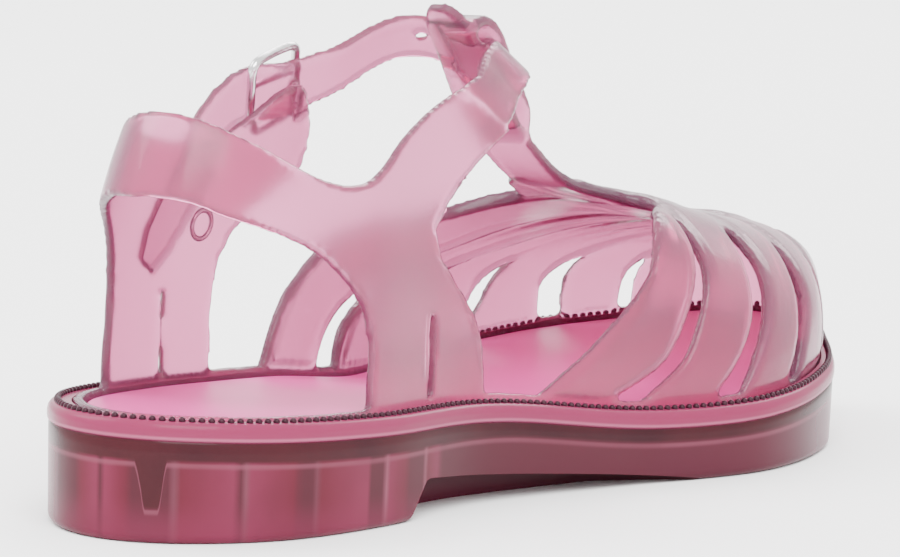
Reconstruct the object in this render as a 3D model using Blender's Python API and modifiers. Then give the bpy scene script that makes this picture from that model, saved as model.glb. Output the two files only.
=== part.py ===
"""Left jelly sandal, standing empty on its sole.

Metres. +Y points to the toe, +X to the medial (inner) side, +Z up. The origin is on the floor under the
middle of the sole. The last is one surface, last_point(t, q): t runs along the foot from the heel (0) to the
toe (1), and q runs over it from the medial edge of the sole (0) across the ridge (1) to the lateral edge (2).
The upper is a shell of that surface with its openings cut out, and straps laid on the same surface.
"""

import math

import bmesh
import bpy
import numpy as np
from mathutils import Matrix, Vector

# Sole
SOLE_LENGTH = 0.250
BALL_WIDTH = 0.098
HEEL_RIM_HEIGHT = 0.0239
WAIST_RIM_HEIGHT = 0.0202
BALL_RIM_HEIGHT = 0.0152
TOE_RIM_HEIGHT = 0.0218
TOE_SPRING = 0.0030
ARCH_HEIGHT = 0.0085
ARCH_DEPTH = 0.0110
LIP_HEIGHT = 0.0038
BAND_HEIGHT = 0.0046
BAND_DEPTH = 0.0007
WALL_DRAFT = 0.0008
SOLE_EDGE_BEVEL = 0.0012
RECESS_DEPTH = 0.0034
CELL_RIB = 0.0040
CELL_FLOOR = 0.0035

# Insole
INSOLE_THICKNESS = 0.0026
INSOLE_BEVEL = 0.0006

# Upper
WALL = 0.0022
INSTEP_HEIGHT = 0.0960
VAMP_HEIGHT = 0.0495
FOOT_INSET = 0.0050
TOE_BULGE = 0.0022
STRAP_WIDTH = 0.0118
STRAP_THICKNESS = 0.0020
BAR_WIDTH = 0.0130
LOOP_ROOM = 0.0006
LOOP_THICKNESS = 0.0022
SLOT_WIDTH = 0.0020
FOOT_RING = 0.0006

# Buckle
WIRE = 0.0022
PRONG_WIRE = 0.0018
FRAME_CORNER = 0.0028
FRAME_BELLY = 1.04
FRAME_LIFT = 0.0006
PRONG_BEND = 0.0015
PRONG_REST = 0.85
PRONG_END = 0.02

CLEAR = 0.0003
CUT_REACH = 0.0050

STATIONS = 32
ROWS = 12

COLLECTION = "jelly_sandal"
CUTTERS = "cutters"

# Plan of the sole: station, half width and middle line as shares of half the ball width
PLAN = (
    (0.0, 0.000, -0.063),
    (0.1, 0.320, -0.063),
    (0.2, 0.580, -0.063),
    (0.3, 0.677, -0.063),
    (0.4, 0.655, -0.058),
    (0.5, 0.808, -0.031),
    (0.6, 1.000, 0.000),
    (0.7, 0.886, -0.012),
    (0.8, 0.567, -0.037),
    (0.9, 0.286, -0.060),
    (1.0, 0.000, -0.063),
)

# Height of the sole's rim: share of the length, shares of the heel, waist, ball and toe rim heights
RIM = (
    (0.00, 1.00, 0.00, 0.00, 0.00),
    (0.18, 0.60, 0.38, 0.00, 0.00),
    (0.36, 0.00, 1.00, 0.00, 0.00),
    (0.54, 0.00, 0.00, 1.00, 0.00),
    (0.72, 0.00, 0.00, 0.85, 0.15),
    (0.86, 0.00, 0.00, 0.40, 0.60),
    (1.00, 0.00, 0.00, 0.00, 1.00),
)

# Ridge of the last: station, place along the length, shares of the instep and vamp heights, roundness, and
# the foot's inset from the edge of the sole as a share of FOOT_INSET
RIDGE = (
    (0.00, 0.168, 1.02, 0.00, 2.0, 1.00),
    (0.10, 0.176, 1.05, 0.00, 2.0, 1.00),
    (0.20, 0.196, 1.08, 0.00, 2.0, 1.00),
    (0.30, 0.256, 1.10, 0.00, 2.0, 1.00),
    (0.40, 0.368, 1.08, 0.00, 2.0, 1.00),
    (0.45, 0.440, 1.02, 0.00, 2.0, 1.00),
    (0.50, 0.482, 0.74, 0.32, 2.0, 1.00),
    (0.55, 0.528, 0.33, 0.80, 2.0, 1.00),
    (0.60, 0.592, 0.12, 0.97, 2.1, 0.90),
    (0.65, 0.672, 0.04, 1.02, 2.2, 0.80),
    (0.70, 0.756, 0.00, 1.00, 2.4, 0.70),
    (0.80, 0.868, 0.00, 0.90, 2.8, 0.55),
    (0.90, 0.942, 0.00, 0.81, 3.0, 0.50),
    (1.00, 0.962, 0.00, 0.78, 3.0, 0.50),
)


def table(rows, column, at):
    """A smooth curve through one column of a table whose first column is the place."""
    rows = np.array(rows, float)
    place, value = rows[:, 0], rows[:, column]
    at = np.clip(np.asarray(at, float), place[0], place[-1])
    slope = np.gradient(value, place)
    i = np.clip(np.searchsorted(place, at, side="right") - 1, 0, len(place) - 2)
    width = place[i + 1] - place[i]
    s = (at - place[i]) / width
    start = (2 * s**3 - 3 * s**2 + 1) * value[i] + (s**3 - 2 * s**2 + s) * width * slope[i]
    end = (3 * s**2 - 2 * s**3) * value[i + 1] + (s**3 - s**2) * width * slope[i + 1]
    return start + end


def along(t):
    """Distance from the back of the heel at station t."""
    return SOLE_LENGTH * (1 - np.cos(np.pi * t)) / 2


def station(y):
    """Station at a distance y from the back of the heel."""
    return np.arccos(np.clip(1 - 2 * y / SOLE_LENGTH, -1, 1)) / np.pi


def rim_height(y):
    share = y / SOLE_LENGTH
    heights = (HEEL_RIM_HEIGHT, WAIST_RIM_HEIGHT, BALL_RIM_HEIGHT, TOE_RIM_HEIGHT)
    return sum(h * table(RIM, i + 1, share) for i, h in enumerate(heights))


def edge_point(side, t):
    """Outline of the sole at station t, side 1 medial or -1 lateral. Past either end it runs on round."""
    t = np.asarray(t, float)
    turn = np.where((t < 0) | (t > 1), -1.0, 1.0)
    inside = np.where(t < 0, -t, np.where(t > 1, 2 - t, t))
    half = turn * table(PLAN, 1, inside)
    x = BALL_WIDTH / 2 * (side * half + table(PLAN, 2, inside))
    return np.stack([x, along(t)], -1)


def plan_point(side, t, inset):
    """Outline of the sole at station t, moved inwards by an inset. y is measured from the heel."""
    step = 1e-3
    run = edge_point(side, t + step) - edge_point(side, t - step)
    run /= np.linalg.norm(run, axis=-1)[..., None]
    inward = np.stack([-run[..., 1], run[..., 0]], -1) * side
    return edge_point(side, t) + inward * np.asarray(inset)[..., None]


def last_surface(t, q):
    """Outer surface of the upper, y measured from the heel. Below the rim it goes straight down."""
    t, q = np.broadcast_arrays(np.asarray(t, float), np.asarray(q, float))
    flip = t < 0
    t = np.abs(t)
    q = np.where(flip, 2 - q, q)
    side = np.where(q <= 1, 1.0, -1.0)
    h = np.where(q <= 1, q, 2 - q)
    up = np.clip(h, 0, 1) * np.pi / 2
    bulge = TOE_BULGE * np.clip((t - 0.6) / 0.25, 0, 1) * np.sin(2 * up)
    inset = FOOT_INSET * table(RIDGE, 5, t) - bulge
    foot = np.where(side[..., None] > 0, plan_point(1, t, inset), plan_point(-1, t, inset))
    ridge = np.stack([BALL_WIDTH / 2 * table(PLAN, 2, t), SOLE_LENGTH * table(RIDGE, 1, t)], -1)
    top = INSTEP_HEIGHT * table(RIDGE, 2, t) + VAMP_HEIGHT * table(RIDGE, 3, t)
    power = 2 / table(RIDGE, 4, t)
    lean = 1 - np.cos(up) ** power
    rise = np.sin(up) ** power
    low = rim_height(foot[..., 1])
    place = foot + (ridge - foot) * lean[..., None]
    z = low + (top - low) * rise + np.minimum(h, 0)
    return np.concatenate([place, z[..., None]], -1)


def last_normal(t, q):
    """Outward direction of the last's surface."""
    t, q = np.broadcast_arrays(np.asarray(t, float), np.asarray(q, float))
    step = 0.004
    inner = np.clip(q, step, 2 - step)
    forward = last_surface(t + step, inner) - last_surface(t - step, inner)
    over = last_surface(t, inner + step) - last_surface(t, inner - step)
    out = np.cross(over, forward)
    out *= np.where(t < 0, -1.0, 1.0)[..., None]
    return -out / np.linalg.norm(out, axis=-1)[..., None]


def last_point(t, q, offset=0.0):
    """A point at an offset outside the last, in the part's own frame."""
    point = last_surface(t, q) + last_normal(t, q) * np.asarray(offset, float)[..., None]
    return point - np.array([0, SOLE_LENGTH / 2, 0])


def clear_scene():
    for item in list(bpy.data.objects):
        bpy.data.objects.remove(item)
    for name in (COLLECTION, CUTTERS):
        group = bpy.data.collections.new(name)
        bpy.context.scene.collection.children.link(group)


def material(name, colour, roughness, metallic=0.0):
    made = bpy.data.materials.new(name)
    made.use_nodes = True
    shader = made.node_tree.nodes["Principled BSDF"]
    shader.inputs["Base Color"].default_value = (*colour, 1)
    shader.inputs["Roughness"].default_value = roughness
    shader.inputs["Metallic"].default_value = metallic
    made.diffuse_color = (*colour, 1)
    return made


def add_object(name, mesh, group=COLLECTION, finish=None):
    item = bpy.data.objects.new(name, mesh)
    bpy.data.collections[group].objects.link(item)
    if finish:
        mesh.materials.append(finish)
    if group == CUTTERS:
        item.hide_render = True
        item.display_type = "WIRE"
    return item


def loft(name, rings, closed=True, caps=True):
    """A mesh through rows of points, each row a section of the same number of points."""
    rings = np.asarray(rings, float)
    count, size = rings.shape[:2]
    bm = bmesh.new()
    verts = [[bm.verts.new(p) for p in ring] for ring in rings]
    for i in range(count - 1):
        for j in range(size if closed else size - 1):
            k = (j + 1) % size
            bm.faces.new((verts[i][j], verts[i][k], verts[i + 1][k], verts[i + 1][j]))
    if caps:
        bm.faces.new(verts[0][::-1])
        bm.faces.new(verts[-1])
    bmesh.ops.remove_doubles(bm, verts=bm.verts, dist=1e-6)
    bmesh.ops.recalc_face_normals(bm, faces=bm.faces)
    mesh = bpy.data.meshes.new(name)
    bm.to_mesh(mesh)
    bm.free()
    return mesh


def boolean(target, tool, operation="DIFFERENCE", solver="EXACT"):
    change = target.modifiers.new(tool.name, "BOOLEAN")
    change.operation = operation
    change.solver = solver
    change.object = tool


def smooth_shade(item, angle=math.radians(35)):
    item.data.shade_smooth()
    item.data.set_sharp_from_angle(angle=angle)


def outline_stack(name, levels, stations=STATIONS):
    """A solid of the sole's plan. Each level gives an inset and a height, as functions of y or numbers."""
    t = np.linspace(0, 1, stations + 1)
    bm = bmesh.new()
    loops = []
    for inset, height in levels:
        sides = []
        for side in (1, -1):
            plan = plan_point(side, t, np.broadcast_to(inset(t) if callable(inset) else inset, t.shape))
            z = height(plan[:, 1]) if callable(height) else np.full(len(t), height)
            row = [bm.verts.new((p[0], p[1] - SOLE_LENGTH / 2, h)) for p, h in zip(plan, z)]
            sides.append(row)
        for end in (0, -1):
            middle = (sides[0][end].co + sides[1][end].co) / 2
            sides[0][end].co = middle
            bm.verts.remove(sides[1][end])
            sides[1][end] = sides[0][end]
        loops.append(sides)
    for low, high in zip(loops, loops[1:]):
        for a, b in zip(low, high):
            for i in range(stations):
                bm.faces.new((a[i], a[i + 1], b[i + 1], b[i]))
    for medial, lateral in (loops[0], loops[-1]):
        for i in range(stations):
            corners = [medial[i], medial[i + 1], lateral[i + 1], lateral[i]]
            bm.faces.new(list(dict.fromkeys(corners)))
    bmesh.ops.recalc_face_normals(bm, faces=bm.faces)
    mesh = bpy.data.meshes.new(name)
    bm.to_mesh(mesh)
    bm.free()
    return mesh


def below_rim(depth):
    return lambda y: rim_height(y) - depth


def sole_bottom(y):
    """The tread: flat at the heel and the ball, rising at the toe."""
    lift = np.clip((y / SOLE_LENGTH - 0.84) / 0.16, 0, 1)
    return TOE_SPRING * lift**2


def foot_inset(t):
    return FOOT_INSET * table(RIDGE, 5, t)


def arch_cutter(side):
    """The undercut between heel and ball: the side wall stops above the floor, round a set-back core."""
    start, end = 0.235, 0.585
    t = station(np.linspace(start, end, 15) * SOLE_LENGTH)
    rise = np.clip((along(t) / SOLE_LENGTH - start) / 0.025, 0, 1)
    fall = np.clip((end - along(t) / SOLE_LENGTH) / (end - start), 0, 1) ** 0.8
    edge = ARCH_HEIGHT * rise * fall
    outer = plan_point(side, t, np.full(len(t), -0.004))
    inner = plan_point(side, t, ARCH_DEPTH * np.minimum(1, rise * 0.9 + 0.1) * np.minimum(1, fall * 3))
    rings = []
    for o, n, z in zip(outer, inner, edge):
        corners = ((o, -0.003), (n, -0.003), (n, max(z, 0.0002)), (o, max(z, 0.0002)))
        rings.append([(p[0], p[1] - SOLE_LENGTH / 2, h) for p, h in corners])
    name = f"arch_{'medial' if side > 0 else 'lateral'}"
    return add_object(name, loft(name, rings), CUTTERS)


def cell_cutters():
    """The hollow cells under the insole, with ribs left between them."""
    rows = (
        # first and last share of the length, cells across
        (0.075, 0.150, 2),
        (0.175, 0.245, 2),
        (0.500, 0.570, 3),
        (0.595, 0.665, 3),
        (0.690, 0.760, 3),
        (0.785, 0.850, 2),
    )
    cutters = []
    for r, (first, last, across) in enumerate(rows):
        t = station(np.linspace(first, last, 4) * SOLE_LENGTH)
        inset = foot_inset(t) + WALL + CELL_RIB
        medial = plan_point(1, t, inset)
        lateral = plan_point(-1, t, inset)
        for c in range(across):
            rings = []
            for m, l in zip(medial, lateral):
                width = (m[0] - l[0] - CELL_RIB * (across - 1)) / across
                low_x = l[0] + c * (width + CELL_RIB)
                top = rim_height(m[1])
                corners = ((low_x, CELL_FLOOR), (low_x + width, CELL_FLOOR), (low_x + width, top), (low_x, top))
                rings.append([(x, m[1] - SOLE_LENGTH / 2, z) for x, z in corners])
            name = f"cell_{r}_{c}"
            cutters.append(add_object(name, loft(name, rings), CUTTERS))
    return cutters


def make_sole():
    lower = LIP_HEIGHT + BAND_HEIGHT
    levels = (
        (SOLE_EDGE_BEVEL + WALL_DRAFT, sole_bottom),
        (WALL_DRAFT, lambda y: sole_bottom(y) + SOLE_EDGE_BEVEL),
        (0.0, below_rim(lower)),
        (BAND_DEPTH, below_rim(lower - 0.0006)),
        (BAND_DEPTH, below_rim(LIP_HEIGHT + 0.0006)),
        (0.0, below_rim(LIP_HEIGHT)),
        (0.0, below_rim(0.0008)),
        (0.0009, below_rim(0.0)),
    )
    finish = material("sole_pvc", (0.42, 0.10, 0.16), 0.15)
    sole = add_object("sole", outline_stack("sole", levels), finish=finish)
    recess = outline_stack(
        "recess",
        (
            (lambda t: foot_inset(t) - CLEAR, below_rim(RECESS_DEPTH)),
            (lambda t: foot_inset(t) - CLEAR, below_rim(-0.004)),
        ),
    )
    boolean(sole, add_object("recess", recess, CUTTERS))
    for cutter in cell_cutters():
        boolean(sole, cutter)
    for side in (1, -1):
        boolean(sole, arch_cutter(side))
    smooth_shade(sole)
    return sole


def make_insole():
    bottom = RECESS_DEPTH - CLEAR

    def inset(t):
        return foot_inset(t) + WALL + CLEAR

    levels = (
        (inset, below_rim(bottom)),
        (inset, below_rim(bottom - INSOLE_THICKNESS + INSOLE_BEVEL)),
        (lambda t: inset(t) + INSOLE_BEVEL, below_rim(bottom - INSOLE_THICKNESS)),
    )
    finish = material("insole_satin", (0.75, 0.22, 0.45), 0.45)
    insole = add_object("insole", outline_stack("insole", levels), finish=finish)
    smooth_shade(insole)
    return insole


def shell():
    """The whole last as an open surface, thickened inwards into the upper's wall."""
    t = np.linspace(0, 1, STATIONS + 1)
    h = np.concatenate([[-(RECESS_DEPTH - CLEAR)], np.linspace(0, 1, ROWS)])
    bm = bmesh.new()
    sides = []
    for side in (1, -1):
        rows = []
        for value in h:
            q = value if side > 0 else 2 - value
            points = last_surface(t, q) - np.array([0, SOLE_LENGTH / 2, 0])
            rows.append([bm.verts.new(p) for p in points])
        sides.append(rows)
    for rows in sides:
        for low, high in zip(rows, rows[1:]):
            for i in range(STATIONS):
                bm.faces.new((low[i], low[i + 1], high[i + 1], high[i]))
    bmesh.ops.remove_doubles(bm, verts=bm.verts, dist=1e-5)
    bmesh.ops.recalc_face_normals(bm, faces=bm.faces)
    mesh = bpy.data.meshes.new("upper")
    bm.to_mesh(mesh)
    bm.free()
    return mesh


def patch_cutter(name, spine, across=2):
    """A cutter through the wall. The spine's rows are q, first t and last t, on the last's surface."""
    outer, inner = [], []
    for q, first, last in spine:
        t = np.linspace(first, last, across)
        outer.append(last_point(t, np.full(across, q), np.full(across, CUT_REACH)))
        inner.append(last_point(t, np.full(across, q), np.full(across, -CUT_REACH)))
    bm = bmesh.new()
    top = [[bm.verts.new(p) for p in row] for row in outer]
    low = [[bm.verts.new(p) for p in row] for row in inner]
    rows = len(spine)
    for i in range(rows - 1):
        for j in range(across - 1):
            bm.faces.new((top[i][j], top[i][j + 1], top[i + 1][j + 1], top[i + 1][j]))
            bm.faces.new((low[i][j], low[i + 1][j], low[i + 1][j + 1], low[i][j + 1]))
        for j in (0, across - 1):
            bm.faces.new((top[i][j], top[i + 1][j], low[i + 1][j], low[i][j]))
    for i in (0, rows - 1):
        for j in range(across - 1):
            bm.faces.new((top[i][j], top[i][j + 1], low[i][j + 1], low[i][j]))
    bmesh.ops.recalc_face_normals(bm, faces=bm.faces)
    mesh = bpy.data.meshes.new(name)
    bm.to_mesh(mesh)
    bm.free()
    return add_object(name, mesh, CUTTERS)


def side_cutter(name, outline, low_x, high_x):
    """A cutter along X. The outline's rows are the distance from the heel and the height."""
    rings = []
    for x in (low_x, high_x):
        rings.append([(x, y - SOLE_LENGTH / 2, z) for y, z in outline])
    return add_object(name, loft(name, rings), CUTTERS)


def rim_line(first, last, count=8):
    """Points on the upper's foot ring, from one share of the length to another, for a side outline."""
    shares = np.linspace(first, last, count)
    return [(s, (rim_height(s * SOLE_LENGTH) + FOOT_RING) / INSTEP_HEIGHT) for s in shares]


def ribbon_frames(points, normals):
    points = np.asarray(points)
    run = np.gradient(points, axis=0)
    run /= np.linalg.norm(run, axis=1)[:, None]
    out = normals - run * (normals * run).sum(1)[:, None]
    out /= np.linalg.norm(out, axis=1)[:, None]
    return run, out, np.cross(out, run)


class Ribbon:
    """A strap on the last. Rows are t, q, offset of its middle in metres and its share of the width.

    A flat strap has a straight section. Any other follows the last across its width too.
    """

    def __init__(self, rows, width, thickness, count, flat=False):
        rows = np.array(rows, float)
        place = np.linspace(0, 1, len(rows))
        fine = np.linspace(0, 1, count)
        named = np.column_stack([place, rows])
        self.t, self.q, self.offset, self.share = (table(named, c, fine) for c in (1, 2, 3, 4))
        self.points = last_point(self.t, self.q, self.offset)
        self.run, self.out, self.cross = ribbon_frames(self.points, last_normal(self.t, self.q))
        self.width = width
        self.thickness = thickness
        self.flat = flat
        self.thin = np.ones(count)

    def beside(self, reach, outward):
        """Points at a distance across the strap, and at one outward of its middle surface."""
        shift = (self.share * reach)[:, None] * self.cross
        if self.flat:
            return self.points + shift + self.out * np.broadcast_to(outward, self.t.shape)[:, None]
        step = 1e-3
        by_t = (last_surface(self.t + step, self.q) - last_surface(self.t - step, self.q)) / (2 * step)
        by_q = (last_surface(self.t, self.q + step) - last_surface(self.t, self.q - step)) / (2 * step)
        tt, qq, tq = (by_t * by_t).sum(1), (by_q * by_q).sum(1), (by_t * by_q).sum(1)
        vt, vq = (by_t * shift).sum(1), (by_q * shift).sum(1)
        whole = tt * qq - tq * tq
        t = self.t + (vt * qq - vq * tq) / whole
        q = self.q + (vq * tt - vt * tq) / whole
        return last_point(t, q, self.offset + outward)

    def mesh(self, name):
        spread = np.linspace(-1, 1, 2 if self.flat else 4) * self.width / 2
        half = self.thickness / 2 * self.thin
        low = [self.beside(reach, -half) for reach in spread]
        high = [self.beside(reach, half) for reach in spread[::-1]]
        return loft(name, np.stack(low + high, axis=1))

    def at(self, place, across=0.0, outward=0.0):
        """A point beside the strap's middle at a share of its length."""
        fine = np.linspace(0, 1, len(self.t))
        axes = []
        for rows in (self.points, self.out, self.cross):
            axes.append(np.array([np.interp(place, fine, rows[:, c]) for c in range(3)]))
        point, out, cross = axes
        return Vector(point + out * outward + cross * across)


# Openings of the upper seen from the side: shares of the sole's length and of the instep height
COLLAR_TOP = (
    (-0.080, 0.849), (0.384, 0.849), (0.404, 0.868), (0.524, 0.868), (0.524, 1.460), (-0.080, 1.460),
)
COLLAR_MEDIAL = (
    (0.056, 0.870), (0.080, 0.833), (0.108, 0.781), (0.152, 0.708), (0.176, 0.687), (0.204, 0.677),
    (0.228, 0.687), (0.252, 0.713), (0.282, 0.756), (0.310, 0.785), (0.340, 0.812), (0.376, 0.838),
    (0.404, 0.868), (0.404, 1.000), (0.056, 1.000),
)
COLLAR_LATERAL = (
    (0.056, 0.870), (0.088, 0.823), (0.128, 0.781), (0.180, 0.750), (0.232, 0.734), (0.272, 0.740),
    (0.304, 0.776), (0.330, 0.815), (0.350, 0.833), (0.366, 0.822), (0.376, 0.792), (0.400, 0.792),
    (0.400, 1.000), (0.056, 1.000),
)
HEEL_MEDIAL = (
    (-0.060, 0.690), (0.044, 0.680), (0.080, 0.640), (0.128, 0.590), (0.156, 0.550), (0.180, 0.500),
    (0.196, 0.455), (0.204, 0.410), (0.207, 0.350), (0.205, 0.290),
)
HEEL_LATERAL = (
    (-0.060, 0.690), (0.044, 0.675), (0.080, 0.645), (0.110, 0.600), (0.130, 0.540), (0.140, 0.460),
    (0.143, 0.380), (0.142, 0.300),
)

# The instep opening, from the medial foot over the ridge to the lateral foot: q, rear and front station
INSTEP_OPENING = (
    (0.012, 0.412, 0.452), (0.10, 0.410, 0.487), (0.20, 0.386, 0.516), (0.25, 0.373, 0.527),
    (0.31, 0.388, 0.539), (0.40, 0.420, 0.551), (0.50, 0.449, 0.566), (0.54, 0.390, 0.574),
    (0.62, 0.390, 0.590), (0.70, 0.390, 0.612), (0.78, 0.390, 0.640), (0.86, 0.390, 0.650),
    (0.94, 0.390, 0.640), (1.00, 0.390, 0.620), (1.06, 0.391, 0.602), (1.12, 0.392, 0.600),
    (1.19, 0.394, 0.622), (1.25, 0.397, 0.642), (1.33, 0.400, 0.637), (1.42, 0.402, 0.620),
    (1.48, 0.405, 0.606), (1.55, 0.422, 0.574), (1.60, 0.426, 0.555), (1.66, 0.423, 0.524),
    (1.73, 0.385, 0.490), (1.82, 0.361, 0.452), (1.90, 0.359, 0.425), (1.988, 0.361, 0.411),
)

# Gaps between the vamp's straps: height up the side, rear and front station
MEDIAL_GAPS = (
    (
        (0.012, 0.500, 0.521), (0.05, 0.519, 0.534), (0.10, 0.536, 0.548), (0.20, 0.553, 0.563),
        (0.42, 0.583, 0.591), (0.58, 0.600, 0.607), (0.64, 0.612, 0.616),
    ),
    (
        (0.012, 0.568, 0.590), (0.12, 0.592, 0.609), (0.25, 0.614, 0.631), (0.41, 0.633, 0.653),
        (0.57, 0.653, 0.668), (0.63, 0.667, 0.675),
    ),
    (
        (0.012, 0.642, 0.659), (0.12, 0.661, 0.674), (0.25, 0.677, 0.694), (0.41, 0.693, 0.708),
        (0.49, 0.702, 0.714), (0.56, 0.714, 0.721),
    ),
    ((0.012, 0.716, 0.730), (0.16, 0.733, 0.747), (0.32, 0.752, 0.765), (0.40, 0.762, 0.773), (0.47, 0.775, 0.781)),
    ((0.012, 0.800, 0.815), (0.16, 0.813, 0.828), (0.33, 0.833, 0.844), (0.40, 0.848, 0.854)),
)
LATERAL_GAPS = (
    (
        (0.012, 0.472, 0.499), (0.06, 0.478, 0.502), (0.11, 0.492, 0.513), (0.21, 0.540, 0.556),
        (0.31, 0.590, 0.600), (0.41, 0.640, 0.644),
    ),
    ((0.012, 0.556, 0.576), (0.11, 0.568, 0.585), (0.21, 0.598, 0.612), (0.31, 0.646, 0.655), (0.35, 0.678, 0.684)),
    ((0.012, 0.645, 0.664), (0.10, 0.663, 0.680), (0.20, 0.673, 0.688), (0.29, 0.695, 0.705), (0.34, 0.742, 0.747)),
    ((0.012, 0.732, 0.752), (0.13, 0.732, 0.752), (0.24, 0.745, 0.760), (0.33, 0.775, 0.781)),
    ((0.012, 0.798, 0.813), (0.15, 0.805, 0.818), (0.27, 0.823, 0.832), (0.32, 0.838, 0.843)),
)

# Slots in the two legs: height up the side and the slot's middle station
LEG_SLOTS = {
    1: ((0.012, 0.365), (0.07, 0.366), (0.135, 0.368)),
    -1: ((0.012, 0.316), (0.08, 0.314), (0.145, 0.312)),
}


def share_outline(rows):
    return [(y * SOLE_LENGTH, z * INSTEP_HEIGHT) for y, z in rows]


def window_cutters():
    far = BALL_WIDTH
    ring = rim_line
    outlines = (
        ("collar_top", COLLAR_TOP, -far, far),
        ("collar_medial", COLLAR_MEDIAL, 0.0, far),
        ("collar_lateral", COLLAR_LATERAL, -far, 0.0),
        ("heel_medial", HEEL_MEDIAL + tuple(ring(0.204, -0.060)), -0.004, far),
        ("heel_lateral", HEEL_LATERAL + tuple(ring(0.142, -0.060)), -far, -0.002),
    )
    cutters = [side_cutter(name, share_outline(rows), low, high) for name, rows, low, high in outlines]
    cutters.append(patch_cutter("instep_opening", INSTEP_OPENING, across=9))
    for i, rows in enumerate(MEDIAL_GAPS):
        cutters.append(patch_cutter(f"gap_medial_{i}", rows))
    for i, rows in enumerate(LATERAL_GAPS):
        cutters.append(patch_cutter(f"gap_lateral_{i}", [(2 - h, a, b) for h, a, b in rows]))
    for side, rows in LEG_SLOTS.items():
        half = SLOT_WIDTH / 2 / (SOLE_LENGTH * math.pi / 2)
        spine = [(h if side > 0 else 2 - h, t - half, t + half) for h, t in rows]
        cutters.append(patch_cutter(f"leg_slot_{side}", spine))
    return cutters


# Middle lines of the straps laid on the last: station, q, offset as a share of the strap's thickness, and
# share of the width
ANKLE_STRAP = (
    (0.400, 0.42, -0.55, 0.80),
    (0.420, 0.465, -0.55, 0.92),
    (0.439, 0.53, -0.60, 1.00),
    (0.464, 0.65, -1.10, 1.00),
    (0.490, 0.78, 0.10, 0.92),
    (0.507, 0.88, 0.95, 0.88),
    (0.511, 0.97, 0.85, 0.88),
    (0.507, 1.04, 0.85, 0.88),
    (0.499, 1.11, 1.10, 0.92),
    (0.480, 1.20, 0.60, 1.00),
    (0.456, 1.32, -0.20, 1.00),
    (0.438, 1.415, -0.20, 1.00),
    (0.420, 1.475, 0.60, 1.00),
    (0.399, 1.515, 1.40, 1.00),
    (0.376, 1.535, 2.20, 0.97),
    (0.355, 1.575, 1.90, 0.94),
    (0.338, 1.635, 1.20, 0.90),
    (0.324, 1.70, 0.80, 0.86),
    (0.308, 1.765, 0.75, 0.80),
    (0.296, 1.815, 0.75, 0.45),
)

# The bar up the instep, from the toe to its tip behind the strap: offset as a share of the wall
INSTEP_BAR = (
    (0.700, 1.0, -0.75, 1.10),
    (0.670, 1.0, -0.60, 1.15),
    (0.635, 1.0, -0.50, 1.15),
    (0.600, 1.0, -0.45, 1.08),
    (0.560, 1.0, -0.50, 1.02),
    (0.520, 1.0, -0.50, 1.00),
    (0.495, 1.0, -0.50, 0.90),
    (0.475, 1.0, -0.50, 0.75),
    (0.463, 1.0, -0.50, 0.55),
    (0.457, 1.0, -0.50, 0.30),
)

# The loop over the strap, both ends in the bar: offset as a share of the loop's thickness and room
STRAP_LOOP = (
    (0.562, 1.0, -0.45, 0.90),
    (0.559, 1.0, 0.45, 0.90),
    (0.555, 1.0, 1.25, 0.90),
    (0.547, 1.0, 1.65, 0.90),
    (0.530, 1.0, 1.80, 0.90),
    (0.512, 1.0, 1.90, 0.90),
    (0.500, 1.0, 1.90, 0.90),
    (0.489, 1.0, 1.55, 0.90),
    (0.483, 1.0, 0.70, 0.90),
    (0.480, 1.0, -0.45, 0.90),
)

# Where the vamp's straps cross the ridge: station
CROSSINGS = (0.680, 0.735, 0.790, 0.845)
CROSS_WIDTH = 0.0085
CROSS_REACH = 0.22
STRIP_WIDTH = 0.0034
STRIP_PLACES = (-0.0050, 0.0, 0.0050)
STRIP_THICKNESS = 0.0018


def shared(rows, unit):
    """Rows of a strap with their offsets turned from shares into metres."""
    return [(t, q, offset * unit, share) for t, q, offset, share in rows]


def ankle_ribbon():
    """The strap, which starts thin inside the medial arm's wall."""
    strap = Ribbon(shared(ANKLE_STRAP, STRAP_THICKNESS), STRAP_WIDTH, STRAP_THICKNESS, 48)
    strap.thin = np.interp(strap.q, (0.50, 0.60), (0.6, 1.0))
    return strap


def weave_ribbons():
    """Strips along the bar and straps across it, one over and the next under."""
    woven = []
    across = 9
    for c, t in enumerate(CROSSINGS):
        rows = []
        for k in range(across):
            q = 1 + CROSS_REACH * (2 * k / (across - 1) - 1)
            middle = 1 - abs(2 * k / (across - 1) - 1)
            over = 0.45 if c % 2 == 0 else 0.25
            rows.append((t + 0.012 * (middle - 1), q, WALL * (-0.46 + over * min(1, 2 * middle)), 1.0))
        woven.append((f"cross_{c}", Ribbon(rows, CROSS_WIDTH, WALL, 17)))
    first, last = 0.615, 0.885
    for s, place in enumerate(STRIP_PLACES):
        rows = []
        steps = 13
        for k in range(steps):
            t = first + (last - first) * k / (steps - 1)
            wave = math.cos(math.pi * (t - CROSSINGS[0]) / (CROSSINGS[1] - CROSSINGS[0]))
            raised = wave if s % 2 == 0 else -wave
            ends = min(1.0, k / 2, (steps - 1 - k) / 2)
            rows.append((t, 1.0, WALL * (-0.05 + 0.30 * raised * ends), 1.0))
        strip = Ribbon(rows, STRIP_WIDTH, STRIP_THICKNESS, 32, flat=True)
        narrow = np.interp(strip.t, [first, 0.80, last], [1.0, 0.95, 0.55])
        strip.points = strip.points + strip.cross * (place * narrow)[:, None]
        woven.append((f"strip_{s}", strip))
    return woven


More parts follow.
